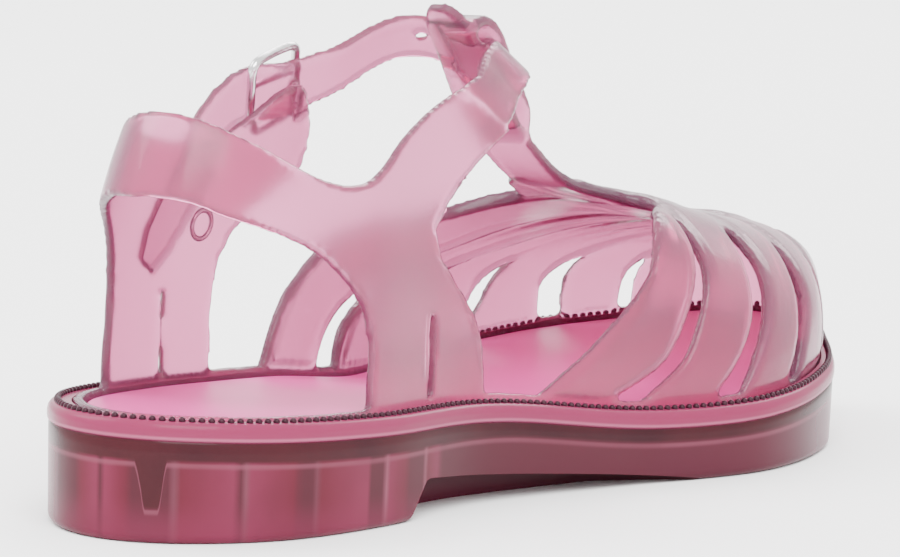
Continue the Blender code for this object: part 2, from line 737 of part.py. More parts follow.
def round_hole(name, ribbon, place):
    """A round cutter through a strap."""
    bm = bmesh.new()
    bmesh.ops.create_cone(
        bm, cap_ends=True, segments=12, radius1=HOLE_RADIUS, radius2=HOLE_RADIUS, depth=STRAP_THICKNESS * 2,
    )
    centre = ribbon.at(place)
    normal = ribbon.at(place, outward=1.0) - centre
    turn = normal.to_track_quat("Z", "Y").to_matrix().to_4x4()
    bm.transform(Matrix.Translation(centre) @ turn)
    mesh = bpy.data.meshes.new(name)
    bm.to_mesh(mesh)
    bm.free()
    return add_object(name, mesh, CUTTERS)


# Places on the ankle strap, as shares of its run
STRAP_HOLES = (0.46, 0.53, 0.60)
HOLE_RADIUS = 0.0013
HINGE_PLACE = 0.740
FRONT_PLACE = 0.645

# The oval slot low on the lateral side of the heel band, and its metal ring
RING_STATION = 0.343
RING_Q = 1.755
RING_RADIUS = 0.0030
RING_WIRE = 0.0014


def make_upper():
    finish = material("upper_pvc", (0.72, 0.42, 0.52), 0.30)
    upper = add_object("upper", shell(), finish=finish)
    thicken = upper.modifiers.new("wall", "SOLIDIFY")
    thicken.thickness = WALL
    thicken.offset = -1
    thicken.use_even_offset = True
    for cutter in window_cutters():
        boolean(upper, cutter, solver="MANIFOLD")
    strap = ankle_ribbon()
    pieces = [("ankle_strap", strap)]
    bar = Ribbon(shared(INSTEP_BAR, WALL), BAR_WIDTH, WALL, 30, flat=True)
    loop = Ribbon(shared(STRAP_LOOP, LOOP_THICKNESS + LOOP_ROOM), BAR_WIDTH, LOOP_THICKNESS, 20, flat=True)
    pieces += [("instep_bar", bar), ("strap_loop", loop)]
    pieces += weave_ribbons()
    for name, ribbon in pieces:
        boolean(upper, add_object(name, ribbon.mesh(name), CUTTERS), "UNION", "MANIFOLD")
    for i, place in enumerate(STRAP_HOLES):
        boolean(upper, round_hole(f"hole_{i}", strap, place), solver="MANIFOLD")
    boolean(upper, ring_slot(), solver="MANIFOLD")
    smooth_shade(upper)
    return upper, strap


def ring_slot():
    """The oval slot that the metal ring lies in."""
    bm = bmesh.new()
    bmesh.ops.create_cone(bm, cap_ends=True, segments=20, radius1=1.0, radius2=1.0, depth=2.0)
    outer = RING_RADIUS + RING_WIRE / 2 + CLEAR
    bmesh.ops.scale(bm, vec=(outer, outer, WALL * 2), verts=bm.verts)
    centre, turn = ring_place()
    bm.transform(Matrix.Translation(centre) @ turn)
    mesh = bpy.data.meshes.new("ring_slot")
    bm.to_mesh(mesh)
    bm.free()
    return add_object("ring_slot", mesh, CUTTERS)


def ring_place():
    centre = Vector(last_point(RING_STATION, RING_Q, -WALL / 2))
    normal = Vector(last_normal(RING_STATION, RING_Q))
    return centre, normal.to_track_quat("Z", "Y").to_matrix().to_4x4()


def wire_object(name, points, radius, cyclic, finish):
    """A bent wire: a poly curve with a bevel, made a mesh."""
    curve = bpy.data.curves.new(name, "CURVE")
    curve.dimensions = "3D"
    curve.bevel_depth = radius
    curve.bevel_resolution = 1
    curve.use_fill_caps = not cyclic
    spline = curve.splines.new("POLY")
    spline.points.add(len(points) - 1)
    for point, place in zip(spline.points, points):
        point.co = (*place, 1)
    spline.use_cyclic_u = cyclic
    guide = bpy.data.objects.new(f"{name}_line", curve)
    bpy.data.collections[COLLECTION].objects.link(guide)
    bpy.context.view_layer.update()
    mesh = bpy.data.meshes.new_from_object(guide.evaluated_get(bpy.context.evaluated_depsgraph_get()))
    bpy.data.objects.remove(guide)
    bm = bmesh.new()
    bm.from_mesh(mesh)
    bmesh.ops.remove_doubles(bm, verts=bm.verts, dist=1e-6)
    bmesh.ops.recalc_face_normals(bm, faces=bm.faces)
    bm.to_mesh(mesh)
    bm.free()
    item = add_object(name, mesh, finish=finish)
    item.data.shade_smooth()
    return item


def rounded(corners, radius, steps=3, closed=True):
    """A run of straight stretches through the corners, with each corner rounded."""
    corners = [Vector(c) for c in corners]
    count = len(corners)
    points = []
    for i, corner in enumerate(corners):
        if not closed and i in (0, count - 1):
            points.append(corner)
            continue
        before = (corners[i - 1] - corner).normalized()
        after = (corners[(i + 1) % count] - corner).normalized()
        start, end = corner + before * radius, corner + after * radius
        for k in range(steps + 1):
            s = k / steps
            points.append(start * (1 - s) ** 2 + corner * 2 * s * (1 - s) + end * s**2)
    return points


def make_buckle(strap):
    metal = material("buckle_metal", (0.55, 0.55, 0.56), 0.25, 1.0)
    side = STRAP_WIDTH / 2 + CLEAR * 3 + WIRE / 2
    under = -(STRAP_THICKNESS / 2 + CLEAR + WIRE / 2)
    over = -under
    corners = []
    for place, across, outward in (
        (HINGE_PLACE, -side, under),
        (HINGE_PLACE, side, under),
        ((HINGE_PLACE + FRONT_PLACE) / 2, side * FRAME_BELLY, FRAME_LIFT),
        (FRONT_PLACE, side, over),
        (FRONT_PLACE, -side, over),
        ((HINGE_PLACE + FRONT_PLACE) / 2, -side * FRAME_BELLY, FRAME_LIFT),
    ):
        corners.append(strap.at(place, across=across, outward=outward))
    wire_object("buckle_frame", rounded(corners, FRAME_CORNER), WIRE / 2, True, metal)
    lift = over + WIRE / 2 + CLEAR + PRONG_WIRE / 2
    prong = [
        strap.at(HINGE_PLACE - PRONG_END, outward=STRAP_THICKNESS / 2 + CLEAR + PRONG_WIRE / 2),
        strap.at((HINGE_PLACE + FRONT_PLACE) / 2, outward=lift * PRONG_REST),
        strap.at(FRONT_PLACE, outward=lift),
        strap.at(FRONT_PLACE - PRONG_END, outward=lift),
    ]
    wire_object("buckle_prong", rounded(prong, PRONG_BEND, closed=False), PRONG_WIRE / 2, False, metal)
    centre, turn = ring_place()
    around = np.linspace(0, 2 * math.pi, 18, endpoint=False)
    ring = [centre + turn @ Vector((RING_RADIUS * math.cos(a), RING_RADIUS * math.sin(a), 0)) for a in around]
    wire_object("slot_ring", ring, RING_WIRE / 2, True, metal)


def main():
    clear_scene()
    make_sole()
    make_insole()
    upper, strap = make_upper()
    make_buckle(strap)


main()
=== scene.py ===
"""Looks of the left jelly sandal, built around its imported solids.

Metres. +Y points to the toe, +X to the medial (inner) side, +Z up. The sole's outline, the last's surface and
the straps on it are worked out here by the same functions as in the part's source, with finer steps.
"""

import math

import bmesh
import bpy
import numpy as np
from mathutils import Matrix, Vector, kdtree


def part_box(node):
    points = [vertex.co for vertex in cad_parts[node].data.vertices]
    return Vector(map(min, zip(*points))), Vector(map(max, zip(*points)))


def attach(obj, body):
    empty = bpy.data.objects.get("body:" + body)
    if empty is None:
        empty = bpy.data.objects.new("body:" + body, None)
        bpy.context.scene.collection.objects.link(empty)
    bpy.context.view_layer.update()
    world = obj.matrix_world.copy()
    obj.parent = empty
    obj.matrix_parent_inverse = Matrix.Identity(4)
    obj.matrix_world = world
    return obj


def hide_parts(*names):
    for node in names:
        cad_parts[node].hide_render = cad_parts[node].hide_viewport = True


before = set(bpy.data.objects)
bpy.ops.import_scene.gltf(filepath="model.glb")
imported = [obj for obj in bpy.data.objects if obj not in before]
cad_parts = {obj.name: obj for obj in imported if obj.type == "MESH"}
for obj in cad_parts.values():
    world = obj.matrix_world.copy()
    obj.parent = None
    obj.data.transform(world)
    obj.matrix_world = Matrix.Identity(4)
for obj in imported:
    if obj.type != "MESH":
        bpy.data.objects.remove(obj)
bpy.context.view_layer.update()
BODY = "root"

# Sole, from the frame
sole_low, sole_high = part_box("sole")
SOLE_LENGTH = sole_high.y - sole_low.y
BALL_WIDTH = 0.098
HEEL_RIM_HEIGHT = 0.0239
WAIST_RIM_HEIGHT = 0.0202
BALL_RIM_HEIGHT = 0.0152
TOE_RIM_HEIGHT = 0.0218
TOE_SPRING = 0.0030
SPRING_START = 0.84
ARCH_HEIGHT = 0.0085
ARCH_DEPTH = 0.0110
ARCH_START = 0.235
ARCH_END = 0.585
BREAST_RUN = 0.025
ARCH_STEPS = 60
LEAST_RISE = 0.0002
CUT_OUTSIDE = 0.004
CUT_BELOW = 0.003
LIP_HEIGHT = 0.0038
SOLE_EDGE = 0.0016
WALL_INSET_LOW = 0.0006
WALL_INSET_HIGH = 0.0003
WALL_ROWS = 7
RECESS_DEPTH = 0.0034
CLEAR = 0.0003
SOLE_STATIONS = 150

# Insole
INSOLE_TOP = 0.0005
INSOLE_EDGE = 0.0008

# Upper
WALL = 0.0022
INSTEP_HEIGHT = 0.0960
VAMP_HEIGHT = 0.0495
FOOT_INSET = 0.0050
TOE_BULGE = 0.0022
FOOT_RING = 0.0006
STRAP_WIDTH = 0.0118
STRAP_THICKNESS = 0.0020
BAR_WIDTH = 0.0130
LOOP_ROOM = 0.0006
LOOP_THICKNESS = 0.0022
SLOT_WIDTH = 0.0020
CUT_REACH = 0.0050
STRAP_STEPS = 160
BAR_STEPS = 120
LOOP_STEPS = 80
CROSS_STEPS = 60
STRIP_STEPS = 120
SHELL_STATIONS = 110
SHELL_ROWS = 32
PATCH_STEPS = 48
VOXEL = 0.00070
KEPT_FACES = 0.70
SOFTEN_ROUNDS = 10
SMOOTH_SHARE = 0.60
PUSH_SHARE = -0.56
EDGE_RADIUS = 0.0011
EDGE_ROUNDS = 6
EDGE_TAPER = 12
EDGE_END = 0.4
EDGE_GRID = 260

# Beads along the rim
BEAD_PITCH = 0.0019
BEAD_RADIUS = 0.00072
BEAD_INSET_SHARE = 0.40

# Plan of the sole: station, half width and middle line as shares of half the ball width
PLAN = (
    (0.0, 0.000, -0.063),
    (0.1, 0.320, -0.063),
    (0.2, 0.580, -0.063),
    (0.3, 0.677, -0.063),
    (0.4, 0.655, -0.058),
    (0.5, 0.808, -0.031),
    (0.6, 1.000, 0.000),
    (0.7, 0.886, -0.012),
    (0.8, 0.567, -0.037),
    (0.9, 0.286, -0.060),
    (1.0, 0.000, -0.063),
)

# Height of the sole's rim: share of the length, shares of the heel, waist, ball and toe rim heights
RIM = (
    (0.00, 1.00, 0.00, 0.00, 0.00),
    (0.18, 0.60, 0.38, 0.00, 0.00),
    (0.36, 0.00, 1.00, 0.00, 0.00),
    (0.54, 0.00, 0.00, 1.00, 0.00),
    (0.72, 0.00, 0.00, 0.85, 0.15),
    (0.86, 0.00, 0.00, 0.40, 0.60),
    (1.00, 0.00, 0.00, 0.00, 1.00),
)

# Ridge of the last: station, place along the length, shares of the instep and vamp heights, roundness, and
# the foot's inset from the edge of the sole as a share of FOOT_INSET
RIDGE = (
    (0.00, 0.168, 1.02, 0.00, 2.0, 1.00),
    (0.10, 0.176, 1.05, 0.00, 2.0, 1.00),
    (0.20, 0.196, 1.08, 0.00, 2.0, 1.00),
    (0.30, 0.256, 1.10, 0.00, 2.0, 1.00),
    (0.40, 0.368, 1.08, 0.00, 2.0, 1.00),
    (0.45, 0.440, 1.02, 0.00, 2.0, 1.00),
    (0.50, 0.482, 0.74, 0.32, 2.0, 1.00),
    (0.55, 0.528, 0.33, 0.80, 2.0, 1.00),
    (0.60, 0.592, 0.12, 0.97, 2.1, 0.90),
    (0.65, 0.672, 0.04, 1.02, 2.2, 0.80),
    (0.70, 0.756, 0.00, 1.00, 2.4, 0.70),
    (0.80, 0.868, 0.00, 0.90, 2.8, 0.55),
    (0.90, 0.942, 0.00, 0.81, 3.0, 0.50),
    (1.00, 0.962, 0.00, 0.78, 3.0, 0.50),
)


def table(rows, column, at):
    """A smooth curve through one column of a table whose first column is the place."""
    rows = np.array(rows, float)
    place, value = rows[:, 0], rows[:, column]
    at = np.clip(np.asarray(at, float), place[0], place[-1])
    slope = np.gradient(value, place)
    i = np.clip(np.searchsorted(place, at, side="right") - 1, 0, len(place) - 2)
    width = place[i + 1] - place[i]
    s = (at - place[i]) / width
    start = (2 * s**3 - 3 * s**2 + 1) * value[i] + (s**3 - 2 * s**2 + s) * width * slope[i]
    end = (3 * s**2 - 2 * s**3) * value[i + 1] + (s**3 - s**2) * width * slope[i + 1]
    return start + end


def along(t):
    """Distance from the back of the heel at station t."""
    return SOLE_LENGTH * (1 - np.cos(np.pi * t)) / 2


def station(y):
    """Station at a distance y from the back of the heel."""
    return np.arccos(np.clip(1 - 2 * y / SOLE_LENGTH, -1, 1)) / np.pi


def rim_height(y):
    share = y / SOLE_LENGTH
    heights = (HEEL_RIM_HEIGHT, WAIST_RIM_HEIGHT, BALL_RIM_HEIGHT, TOE_RIM_HEIGHT)
    return sum(h * table(RIM, i + 1, share) for i, h in enumerate(heights))


def edge_point(side, t):
    """Outline of the sole at station t, side 1 medial or -1 lateral. Past either end it runs on round."""
    t = np.asarray(t, float)
    turn = np.where((t < 0) | (t > 1), -1.0, 1.0)
    inside = np.where(t < 0, -t, np.where(t > 1, 2 - t, t))
    half = turn * table(PLAN, 1, inside)
    x = BALL_WIDTH / 2 * (side * half + table(PLAN, 2, inside))
    return np.stack([x, along(t)], -1)


def plan_point(side, t, inset):
    """Outline of the sole at station t, moved inwards by an inset. y is measured from the heel."""
    step = 1e-3
    run = edge_point(side, t + step) - edge_point(side, t - step)
    run /= np.linalg.norm(run, axis=-1)[..., None]
    inward = np.stack([-run[..., 1], run[..., 0]], -1) * side
    return edge_point(side, t) + inward * np.asarray(inset)[..., None]


def last_surface(t, q):
    """Outer surface of the upper at station t and q, which goes from the medial rim (0) over the ridge (1) to
    the lateral rim (2). y is measured from the heel."""
    t, q = np.broadcast_arrays(np.asarray(t, float), np.asarray(q, float))
    flip = t < 0
    t = np.abs(t)
    q = np.where(flip, 2 - q, q)
    side = np.where(q <= 1, 1.0, -1.0)
    h = np.where(q <= 1, q, 2 - q)
    up = np.clip(h, 0, 1) * np.pi / 2
    bulge = TOE_BULGE * np.clip((t - 0.6) / 0.25, 0, 1) * np.sin(2 * up)
    inset = FOOT_INSET * table(RIDGE, 5, t) - bulge
    foot = np.where(side[..., None] > 0, plan_point(1, t, inset), plan_point(-1, t, inset))
    ridge = np.stack([BALL_WIDTH / 2 * table(PLAN, 2, t), SOLE_LENGTH * table(RIDGE, 1, t)], -1)
    top = INSTEP_HEIGHT * table(RIDGE, 2, t) + VAMP_HEIGHT * table(RIDGE, 3, t)
    power = 2 / table(RIDGE, 4, t)
    lean = 1 - np.cos(up) ** power
    rise = np.sin(up) ** power
    low = rim_height(foot[..., 1])
    place = foot + (ridge - foot) * lean[..., None]
    z = low + (top - low) * rise + np.minimum(h, 0)
    return np.concatenate([place, z[..., None]], -1)


def last_normal(t, q):
    """Outward direction of the last's surface."""
    t, q = np.broadcast_arrays(np.asarray(t, float), np.asarray(q, float))
    step = 0.004
    inner = np.clip(q, step, 2 - step)
    forward = last_surface(t + step, inner) - last_surface(t - step, inner)
    over = last_surface(t, inner + step) - last_surface(t, inner - step)
    out = np.cross(over, forward)
    out *= np.where(t < 0, -1.0, 1.0)[..., None]
    return -out / np.linalg.norm(out, axis=-1)[..., None]


def foot_inset(t):
    return FOOT_INSET * table(RIDGE, 5, t)


def below_rim(depth):
    return lambda y: rim_height(y) - depth


def sole_bottom(y):
    """The tread: flat at the heel and the ball, rising at the toe."""
    lift = np.clip((y / SOLE_LENGTH - SPRING_START) / (1 - SPRING_START), 0, 1)
    return TOE_SPRING * lift**2


def new_object(name, mesh):
    item = bpy.data.objects.new(name, mesh)
    bpy.context.scene.collection.objects.link(item)
    return item


def mesh_from(name, bm):
    bmesh.ops.recalc_face_normals(bm, faces=bm.faces)
    mesh = bpy.data.meshes.new(name)
    bm.to_mesh(mesh)
    bm.free()
    return mesh


def apply_modifiers(item):
    graph = bpy.context.evaluated_depsgraph_get()
    mesh = bpy.data.meshes.new_from_object(item.evaluated_get(graph))
    item.modifiers.clear()
    item.data = mesh


def smooth(item, degrees=40):
    item.data.shade_smooth()
    item.data.set_sharp_from_angle(angle=math.radians(degrees))


def finish_piece(item, material, slot, *nodes):
    item.data.materials.clear()
    item.data.materials.append(material)
    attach(item, BODY)
    if nodes:
        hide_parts(*nodes)
    return item


def outline_stack(name, levels, stations=SOLE_STATIONS):
    """A solid of the sole's plan. Each level gives an inset and a height, as functions or numbers."""
    t = np.linspace(0, 1, stations + 1)
    bm = bmesh.new()
    loops = []
    for inset, height in levels:
        sides = []
        for side in (1, -1):
            plan = plan_point(side, t, np.broadcast_to(inset(t) if callable(inset) else inset, t.shape))
            z = height(plan[:, 1]) if callable(height) else np.full(len(t), height)
            row = [bm.verts.new((p[0], p[1] - SOLE_LENGTH / 2, h)) for p, h in zip(plan, z)]
            sides.append(row)
        for end in (0, -1):
            middle = (sides[0][end].co + sides[1][end].co) / 2
            sides[0][end].co = middle
            bm.verts.remove(sides[1][end])
            sides[1][end] = sides[0][end]
        loops.append(sides)
    for low, high in zip(loops, loops[1:]):
        for a, b in zip(low, high):
            for i in range(stations):
                bm.faces.new((a[i], a[i + 1], b[i + 1], b[i]))
    for medial, lateral in (loops[0], loops[-1]):
        for i in range(stations):
            corners = [medial[i], medial[i + 1], lateral[i + 1], lateral[i]]
            bm.faces.new(list(dict.fromkeys(corners)))
    return mesh_from(name, bm)


def arch_cutter(side):
    """The undercut between heel and ball: the side wall stops above the floor, round a set-back core."""
    t = station(np.linspace(ARCH_START, ARCH_END, ARCH_STEPS) * SOLE_LENGTH)
    rise = np.clip((along(t) / SOLE_LENGTH - ARCH_START) / BREAST_RUN, 0, 1)
    fall = np.clip((ARCH_END - along(t) / SOLE_LENGTH) / (ARCH_END - ARCH_START), 0, 1) ** 0.8
    edge = np.maximum(ARCH_HEIGHT * rise * fall, LEAST_RISE)
    outer = plan_point(side, t, np.full(len(t), -CUT_OUTSIDE))
    inner = plan_point(side, t, ARCH_DEPTH * np.minimum(1, rise * 0.9 + 0.1) * np.minimum(1, fall * 3))
    bm = bmesh.new()
    rings = []
    for o, n, z in zip(outer, inner, edge):
        corners = ((o, -CUT_BELOW), (n, -CUT_BELOW), (n, z), (o, z))
        rings.append([bm.verts.new((p[0], p[1] - SOLE_LENGTH / 2, h)) for p, h in corners])
    for a, b in zip(rings, rings[1:]):
        for j in range(4):
            k = (j + 1) % 4
            bm.faces.new((a[j], a[k], b[k], b[j]))
    bm.faces.new(rings[0])
    bm.faces.new(rings[-1])
    return new_object("arch_cutter", mesh_from("arch_cutter", bm))


def cut(item, *cutters):
    for cutter in cutters:
        change = item.modifiers.new("cut", "BOOLEAN")
        change.operation = "DIFFERENCE"
        change.solver = "EXACT"
        change.object = cutter
    apply_modifiers(item)
    for cutter in cutters:
        bpy.data.objects.remove(cutter)


def last_point(t, q, offset=0.0):
    """A point at an offset outside the last, in the part's own frame."""
    point = last_surface(t, q) + last_normal(t, q) * np.asarray(offset, float)[..., None]
    return point - np.array([0, SOLE_LENGTH / 2, 0])


def loft(name, rings):
    """A closed mesh through rows of points, each row a section of the same number of points."""
    rings = np.asarray(rings, float)
    count, size = rings.shape[:2]
    bm = bmesh.new()
    verts = [[bm.verts.new(p) for p in ring] for ring in rings]
    for i in range(count - 1):
        for j in range(size):
            k = (j + 1) % size
            bm.faces.new((verts[i][j], verts[i][k], verts[i + 1][k], verts[i + 1][j]))
    bm.faces.new(verts[0][::-1])
    bm.faces.new(verts[-1])
    bmesh.ops.remove_doubles(bm, verts=bm.verts, dist=1e-6)
    return mesh_from(name, bm)


def eased(rows, count):
    """More rows through the given ones, smooth and with no overshoot. The first column is the place."""
    rows = np.array(sorted(rows), float)
    place = rows[:, 0]
    at = np.linspace(place[0], place[-1], count)
    i = np.clip(np.searchsorted(place, at, side="right") - 1, 0, len(place) - 2)
    width = np.diff(place)
    s = (at - place[i]) / width[i]
    columns = [at]
    for value in rows[:, 1:].T:
        rate = np.diff(value) / width
        both = rate[1:] * rate[:-1]
        inner = np.where(both > 0, 2 * both / (rate[1:] + rate[:-1] + 1e-12), 0)
        slope = np.concatenate([rate[:1], inner, rate[-1:]])
        start = (2 * s**3 - 3 * s**2 + 1) * value[i] + (s**3 - 2 * s**2 + s) * width[i] * slope[i]
        end = (3 * s**2 - 2 * s**3) * value[i + 1] + (s**3 - s**2) * width[i] * slope[i + 1]
        columns.append(start + end)
    return np.stack(columns, axis=1)


def curved(outline, steps=6):
    """A smooth curve through an outline's points."""
    named = [(k, *point) for k, point in enumerate(outline)]
    at = np.linspace(0, len(outline) - 1, steps * (len(outline) - 1) + 1)
    return tuple(zip(table(named, 1, at), table(named, 2, at)))


def shell():
    """The whole last as an open surface, which is thickened inwards into the upper's wall."""
    t = np.linspace(0, 1, SHELL_STATIONS + 1)
    h = np.concatenate([[-(RECESS_DEPTH - CLEAR)], np.linspace(0, 1, SHELL_ROWS)])
    bm = bmesh.new()
    sides = []
    for side in (1, -1):
        rows = []
        for value in h:
            q = value if side > 0 else 2 - value
            points = last_surface(t, q) - np.array([0, SOLE_LENGTH / 2, 0])
            rows.append([bm.verts.new(p) for p in points])
        sides.append(rows)
    for rows in sides:
        for low, high in zip(rows, rows[1:]):
            for i in range(SHELL_STATIONS):
                bm.faces.new((low[i], low[i + 1], high[i + 1], high[i]))
    bmesh.ops.remove_doubles(bm, verts=bm.verts, dist=1e-5)
    return mesh_from("shell", bm)


def patch(name, spine, across=2, high=CUT_REACH, low=-CUT_REACH):
    """A piece of the wall, or a cutter through it. The spine's rows are q, first t and last t."""
    spine = eased(spine, PATCH_STEPS)
    outer, inner = [], []
    for q, first, last in spine:
        t = np.linspace(first, last, across)
        outer.append(last_point(t, np.full(across, q), np.full(across, high)))
        inner.append(last_point(t, np.full(across, q), np.full(across, low)))
    bm = bmesh.new()
    top = [[bm.verts.new(p) for p in row] for row in outer]
    low = [[bm.verts.new(p) for p in row] for row in inner]
    rows = len(spine)
    for i in range(rows - 1):
        for j in range(across - 1):
            bm.faces.new((top[i][j], top[i][j + 1], top[i + 1][j + 1], top[i + 1][j]))
            bm.faces.new((low[i][j], low[i + 1][j], low[i + 1][j + 1], low[i][j + 1]))
        for j in (0, across - 1):
            bm.faces.new((top[i][j], top[i + 1][j], low[i + 1][j], low[i][j]))
    for i in (0, rows - 1):
        for j in range(across - 1):
            bm.faces.new((top[i][j], top[i][j + 1], low[i][j + 1], low[i][j]))
    return new_object(name, mesh_from(name, bm))


def side_cutter(name, outline, low_x, high_x):
    """A cutter along X. The outline's rows are the distance from the heel and the height."""
    rings = []
    for x in (low_x, high_x):
        rings.append([(x, y - SOLE_LENGTH / 2, z) for y, z in outline])
    return new_object(name, loft(name, rings))


def rim_line(first, last, count=30):
    """Points on the upper's foot ring, from one share of the length to another, for a side outline."""
    shares = np.linspace(first, last, count)
    return [(s, (rim_height(s * SOLE_LENGTH) + FOOT_RING) / INSTEP_HEIGHT) for s in shares]


def ribbon_frames(points, normals):
    points = np.asarray(points)
    run = np.gradient(points, axis=0)
    run /= np.linalg.norm(run, axis=1)[:, None]
    out = normals - run * (normals * run).sum(1)[:, None]
    out /= np.linalg.norm(out, axis=1)[:, None]
    return run, out, np.cross(out, run)


class Ribbon:
    """A strap on the last. Rows are t, q, offset of its middle in metres and its share of the width.

    A flat strap has a straight section. Any other follows the last across its width too.
    """

    def __init__(self, rows, width, thickness, count, flat=False):
        rows = np.array(rows, float)
        place = np.linspace(0, 1, len(rows))
        fine = np.linspace(0, 1, count)
        named = np.column_stack([place, rows])
        self.t, self.q, self.offset, self.share = (table(named, c, fine) for c in (1, 2, 3, 4))
        self.points = last_point(self.t, self.q, self.offset)
        self.run, self.out, self.cross = ribbon_frames(self.points, last_normal(self.t, self.q))
        self.width = width
        self.thickness = thickness
        self.flat = flat
        self.thin = np.ones(count)

    def beside(self, reach, outward):
        """Points at a distance across the strap, and at one outward of its middle surface."""
        shift = (self.share * reach)[:, None] * self.cross
        if self.flat:
            return self.points + shift + self.out * np.broadcast_to(outward, self.t.shape)[:, None]
        step = 1e-3
        by_t = (last_surface(self.t + step, self.q) - last_surface(self.t - step, self.q)) / (2 * step)
        by_q = (last_surface(self.t, self.q + step) - last_surface(self.t, self.q - step)) / (2 * step)
        tt, qq, tq = (by_t * by_t).sum(1), (by_q * by_q).sum(1), (by_t * by_q).sum(1)
        vt, vq = (by_t * shift).sum(1), (by_q * shift).sum(1)
        whole = tt * qq - tq * tq
        t = self.t + (vt * qq - vq * tq) / whole
        q = self.q + (vq * tt - vt * tq) / whole
        return last_point(t, q, self.offset + outward)

    def mesh(self, name):
        spread = np.linspace(-1, 1, 2 if self.flat else 4) * self.width / 2
        half = self.thickness / 2 * self.thin
        low = [self.beside(reach, -half) for reach in spread]
        high = [self.beside(reach, half) for reach in spread[::-1]]
        return loft(name, np.stack(low + high, axis=1))

    def at(self, place, across=0.0, outward=0.0):
        """A point beside the strap's middle at a share of its length."""
        fine = np.linspace(0, 1, len(self.t))
        axes = []
        for rows in (self.points, self.out, self.cross):
            axes.append(np.array([np.interp(place, fine, rows[:, c]) for c in range(3)]))
        point, out, cross = axes
        return Vector(point + out * outward + cross * across)


# Openings of the upper seen from the side: shares of the sole's length and of the instep height
COLLAR_TOP = (
    (-0.080, 0.849), (0.384, 0.849), (0.404, 0.868), (0.524, 0.868), (0.524, 1.460), (-0.080, 1.460),
)
COLLAR_MEDIAL = (
    (0.056, 0.870), (0.080, 0.833), (0.108, 0.781), (0.152, 0.708), (0.176, 0.687), (0.204, 0.677),
    (0.228, 0.687), (0.252, 0.713), (0.282, 0.756), (0.310, 0.785), (0.340, 0.812), (0.376, 0.838),
    (0.404, 0.868), (0.404, 1.000), (0.056, 1.000),
)
COLLAR_LATERAL = (
    (0.056, 0.870), (0.088, 0.823), (0.128, 0.781), (0.180, 0.750), (0.232, 0.734), (0.272, 0.740),
    (0.304, 0.776), (0.330, 0.815), (0.350, 0.833), (0.366, 0.822), (0.376, 0.792), (0.400, 0.792),
    (0.400, 1.000), (0.056, 1.000),
)
HEEL_MEDIAL = (
    (-0.060, 0.690), (0.044, 0.680), (0.080, 0.640), (0.128, 0.590), (0.156, 0.550), (0.180, 0.500),
    (0.196, 0.455), (0.204, 0.410), (0.207, 0.350), (0.205, 0.290),
)
HEEL_LATERAL = (
    (-0.060, 0.690), (0.044, 0.675), (0.080, 0.645), (0.110, 0.600), (0.130, 0.540), (0.140, 0.460),
    (0.143, 0.380), (0.142, 0.300),
)

# The instep opening, from the medial foot over the ridge to the lateral foot: q, rear and front station
INSTEP_OPENING = (
    (0.012, 0.412, 0.452), (0.10, 0.410, 0.487), (0.20, 0.386, 0.516), (0.25, 0.373, 0.527),
    (0.31, 0.388, 0.539), (0.40, 0.420, 0.551), (0.50, 0.449, 0.566), (0.54, 0.390, 0.574),
    (0.62, 0.390, 0.590), (0.70, 0.390, 0.612), (0.78, 0.390, 0.640), (0.86, 0.390, 0.650),
    (0.94, 0.390, 0.640), (1.00, 0.390, 0.620), (1.06, 0.391, 0.602), (1.12, 0.392, 0.600),
    (1.19, 0.394, 0.622), (1.25, 0.397, 0.642), (1.33, 0.400, 0.637), (1.42, 0.402, 0.620),
    (1.48, 0.405, 0.606), (1.55, 0.422, 0.574), (1.60, 0.426, 0.555), (1.66, 0.423, 0.524),
    (1.73, 0.385, 0.490), (1.82, 0.361, 0.452), (1.90, 0.359, 0.425), (1.988, 0.361, 0.411),
)

# Gaps between the vamp's straps: height up the side, rear and front station
MEDIAL_GAPS = (
    (
        (0.012, 0.500, 0.521), (0.05, 0.519, 0.534), (0.10, 0.536, 0.548), (0.20, 0.553, 0.563),
        (0.42, 0.583, 0.591), (0.58, 0.600, 0.607), (0.64, 0.612, 0.616),
    ),
    (
        (0.012, 0.568, 0.590), (0.12, 0.592, 0.609), (0.25, 0.614, 0.631), (0.41, 0.633, 0.653),
        (0.57, 0.653, 0.668), (0.63, 0.667, 0.675),
    ),
    (
        (0.012, 0.642, 0.659), (0.12, 0.661, 0.674), (0.25, 0.677, 0.694), (0.41, 0.693, 0.708),
        (0.49, 0.702, 0.714), (0.56, 0.714, 0.721),
    ),
    (
        (0.012, 0.716, 0.730), (0.16, 0.733, 0.747), (0.32, 0.752, 0.765), (0.40, 0.762, 0.773),
        (0.47, 0.775, 0.781),
    ),
    ((0.012, 0.800, 0.815), (0.16, 0.813, 0.828), (0.33, 0.833, 0.844), (0.40, 0.848, 0.854)),
)
LATERAL_GAPS = (
    (
        (0.012, 0.472, 0.499), (0.06, 0.478, 0.502), (0.11, 0.492, 0.513), (0.21, 0.540, 0.556),
        (0.31, 0.590, 0.600), (0.41, 0.640, 0.644),
    ),
    (
        (0.012, 0.556, 0.576), (0.11, 0.568, 0.585), (0.21, 0.598, 0.612), (0.31, 0.646, 0.655),
        (0.35, 0.678, 0.684),
    ),
    (
        (0.012, 0.645, 0.664), (0.10, 0.663, 0.680), (0.20, 0.673, 0.688), (0.29, 0.695, 0.705),
        (0.34, 0.742, 0.747),
    ),
    ((0.012, 0.732, 0.752), (0.13, 0.732, 0.752), (0.24, 0.745, 0.760), (0.33, 0.775, 0.781)),
    ((0.012, 0.798, 0.813), (0.15, 0.805, 0.818), (0.27, 0.823, 0.832), (0.32, 0.838, 0.843)),
)

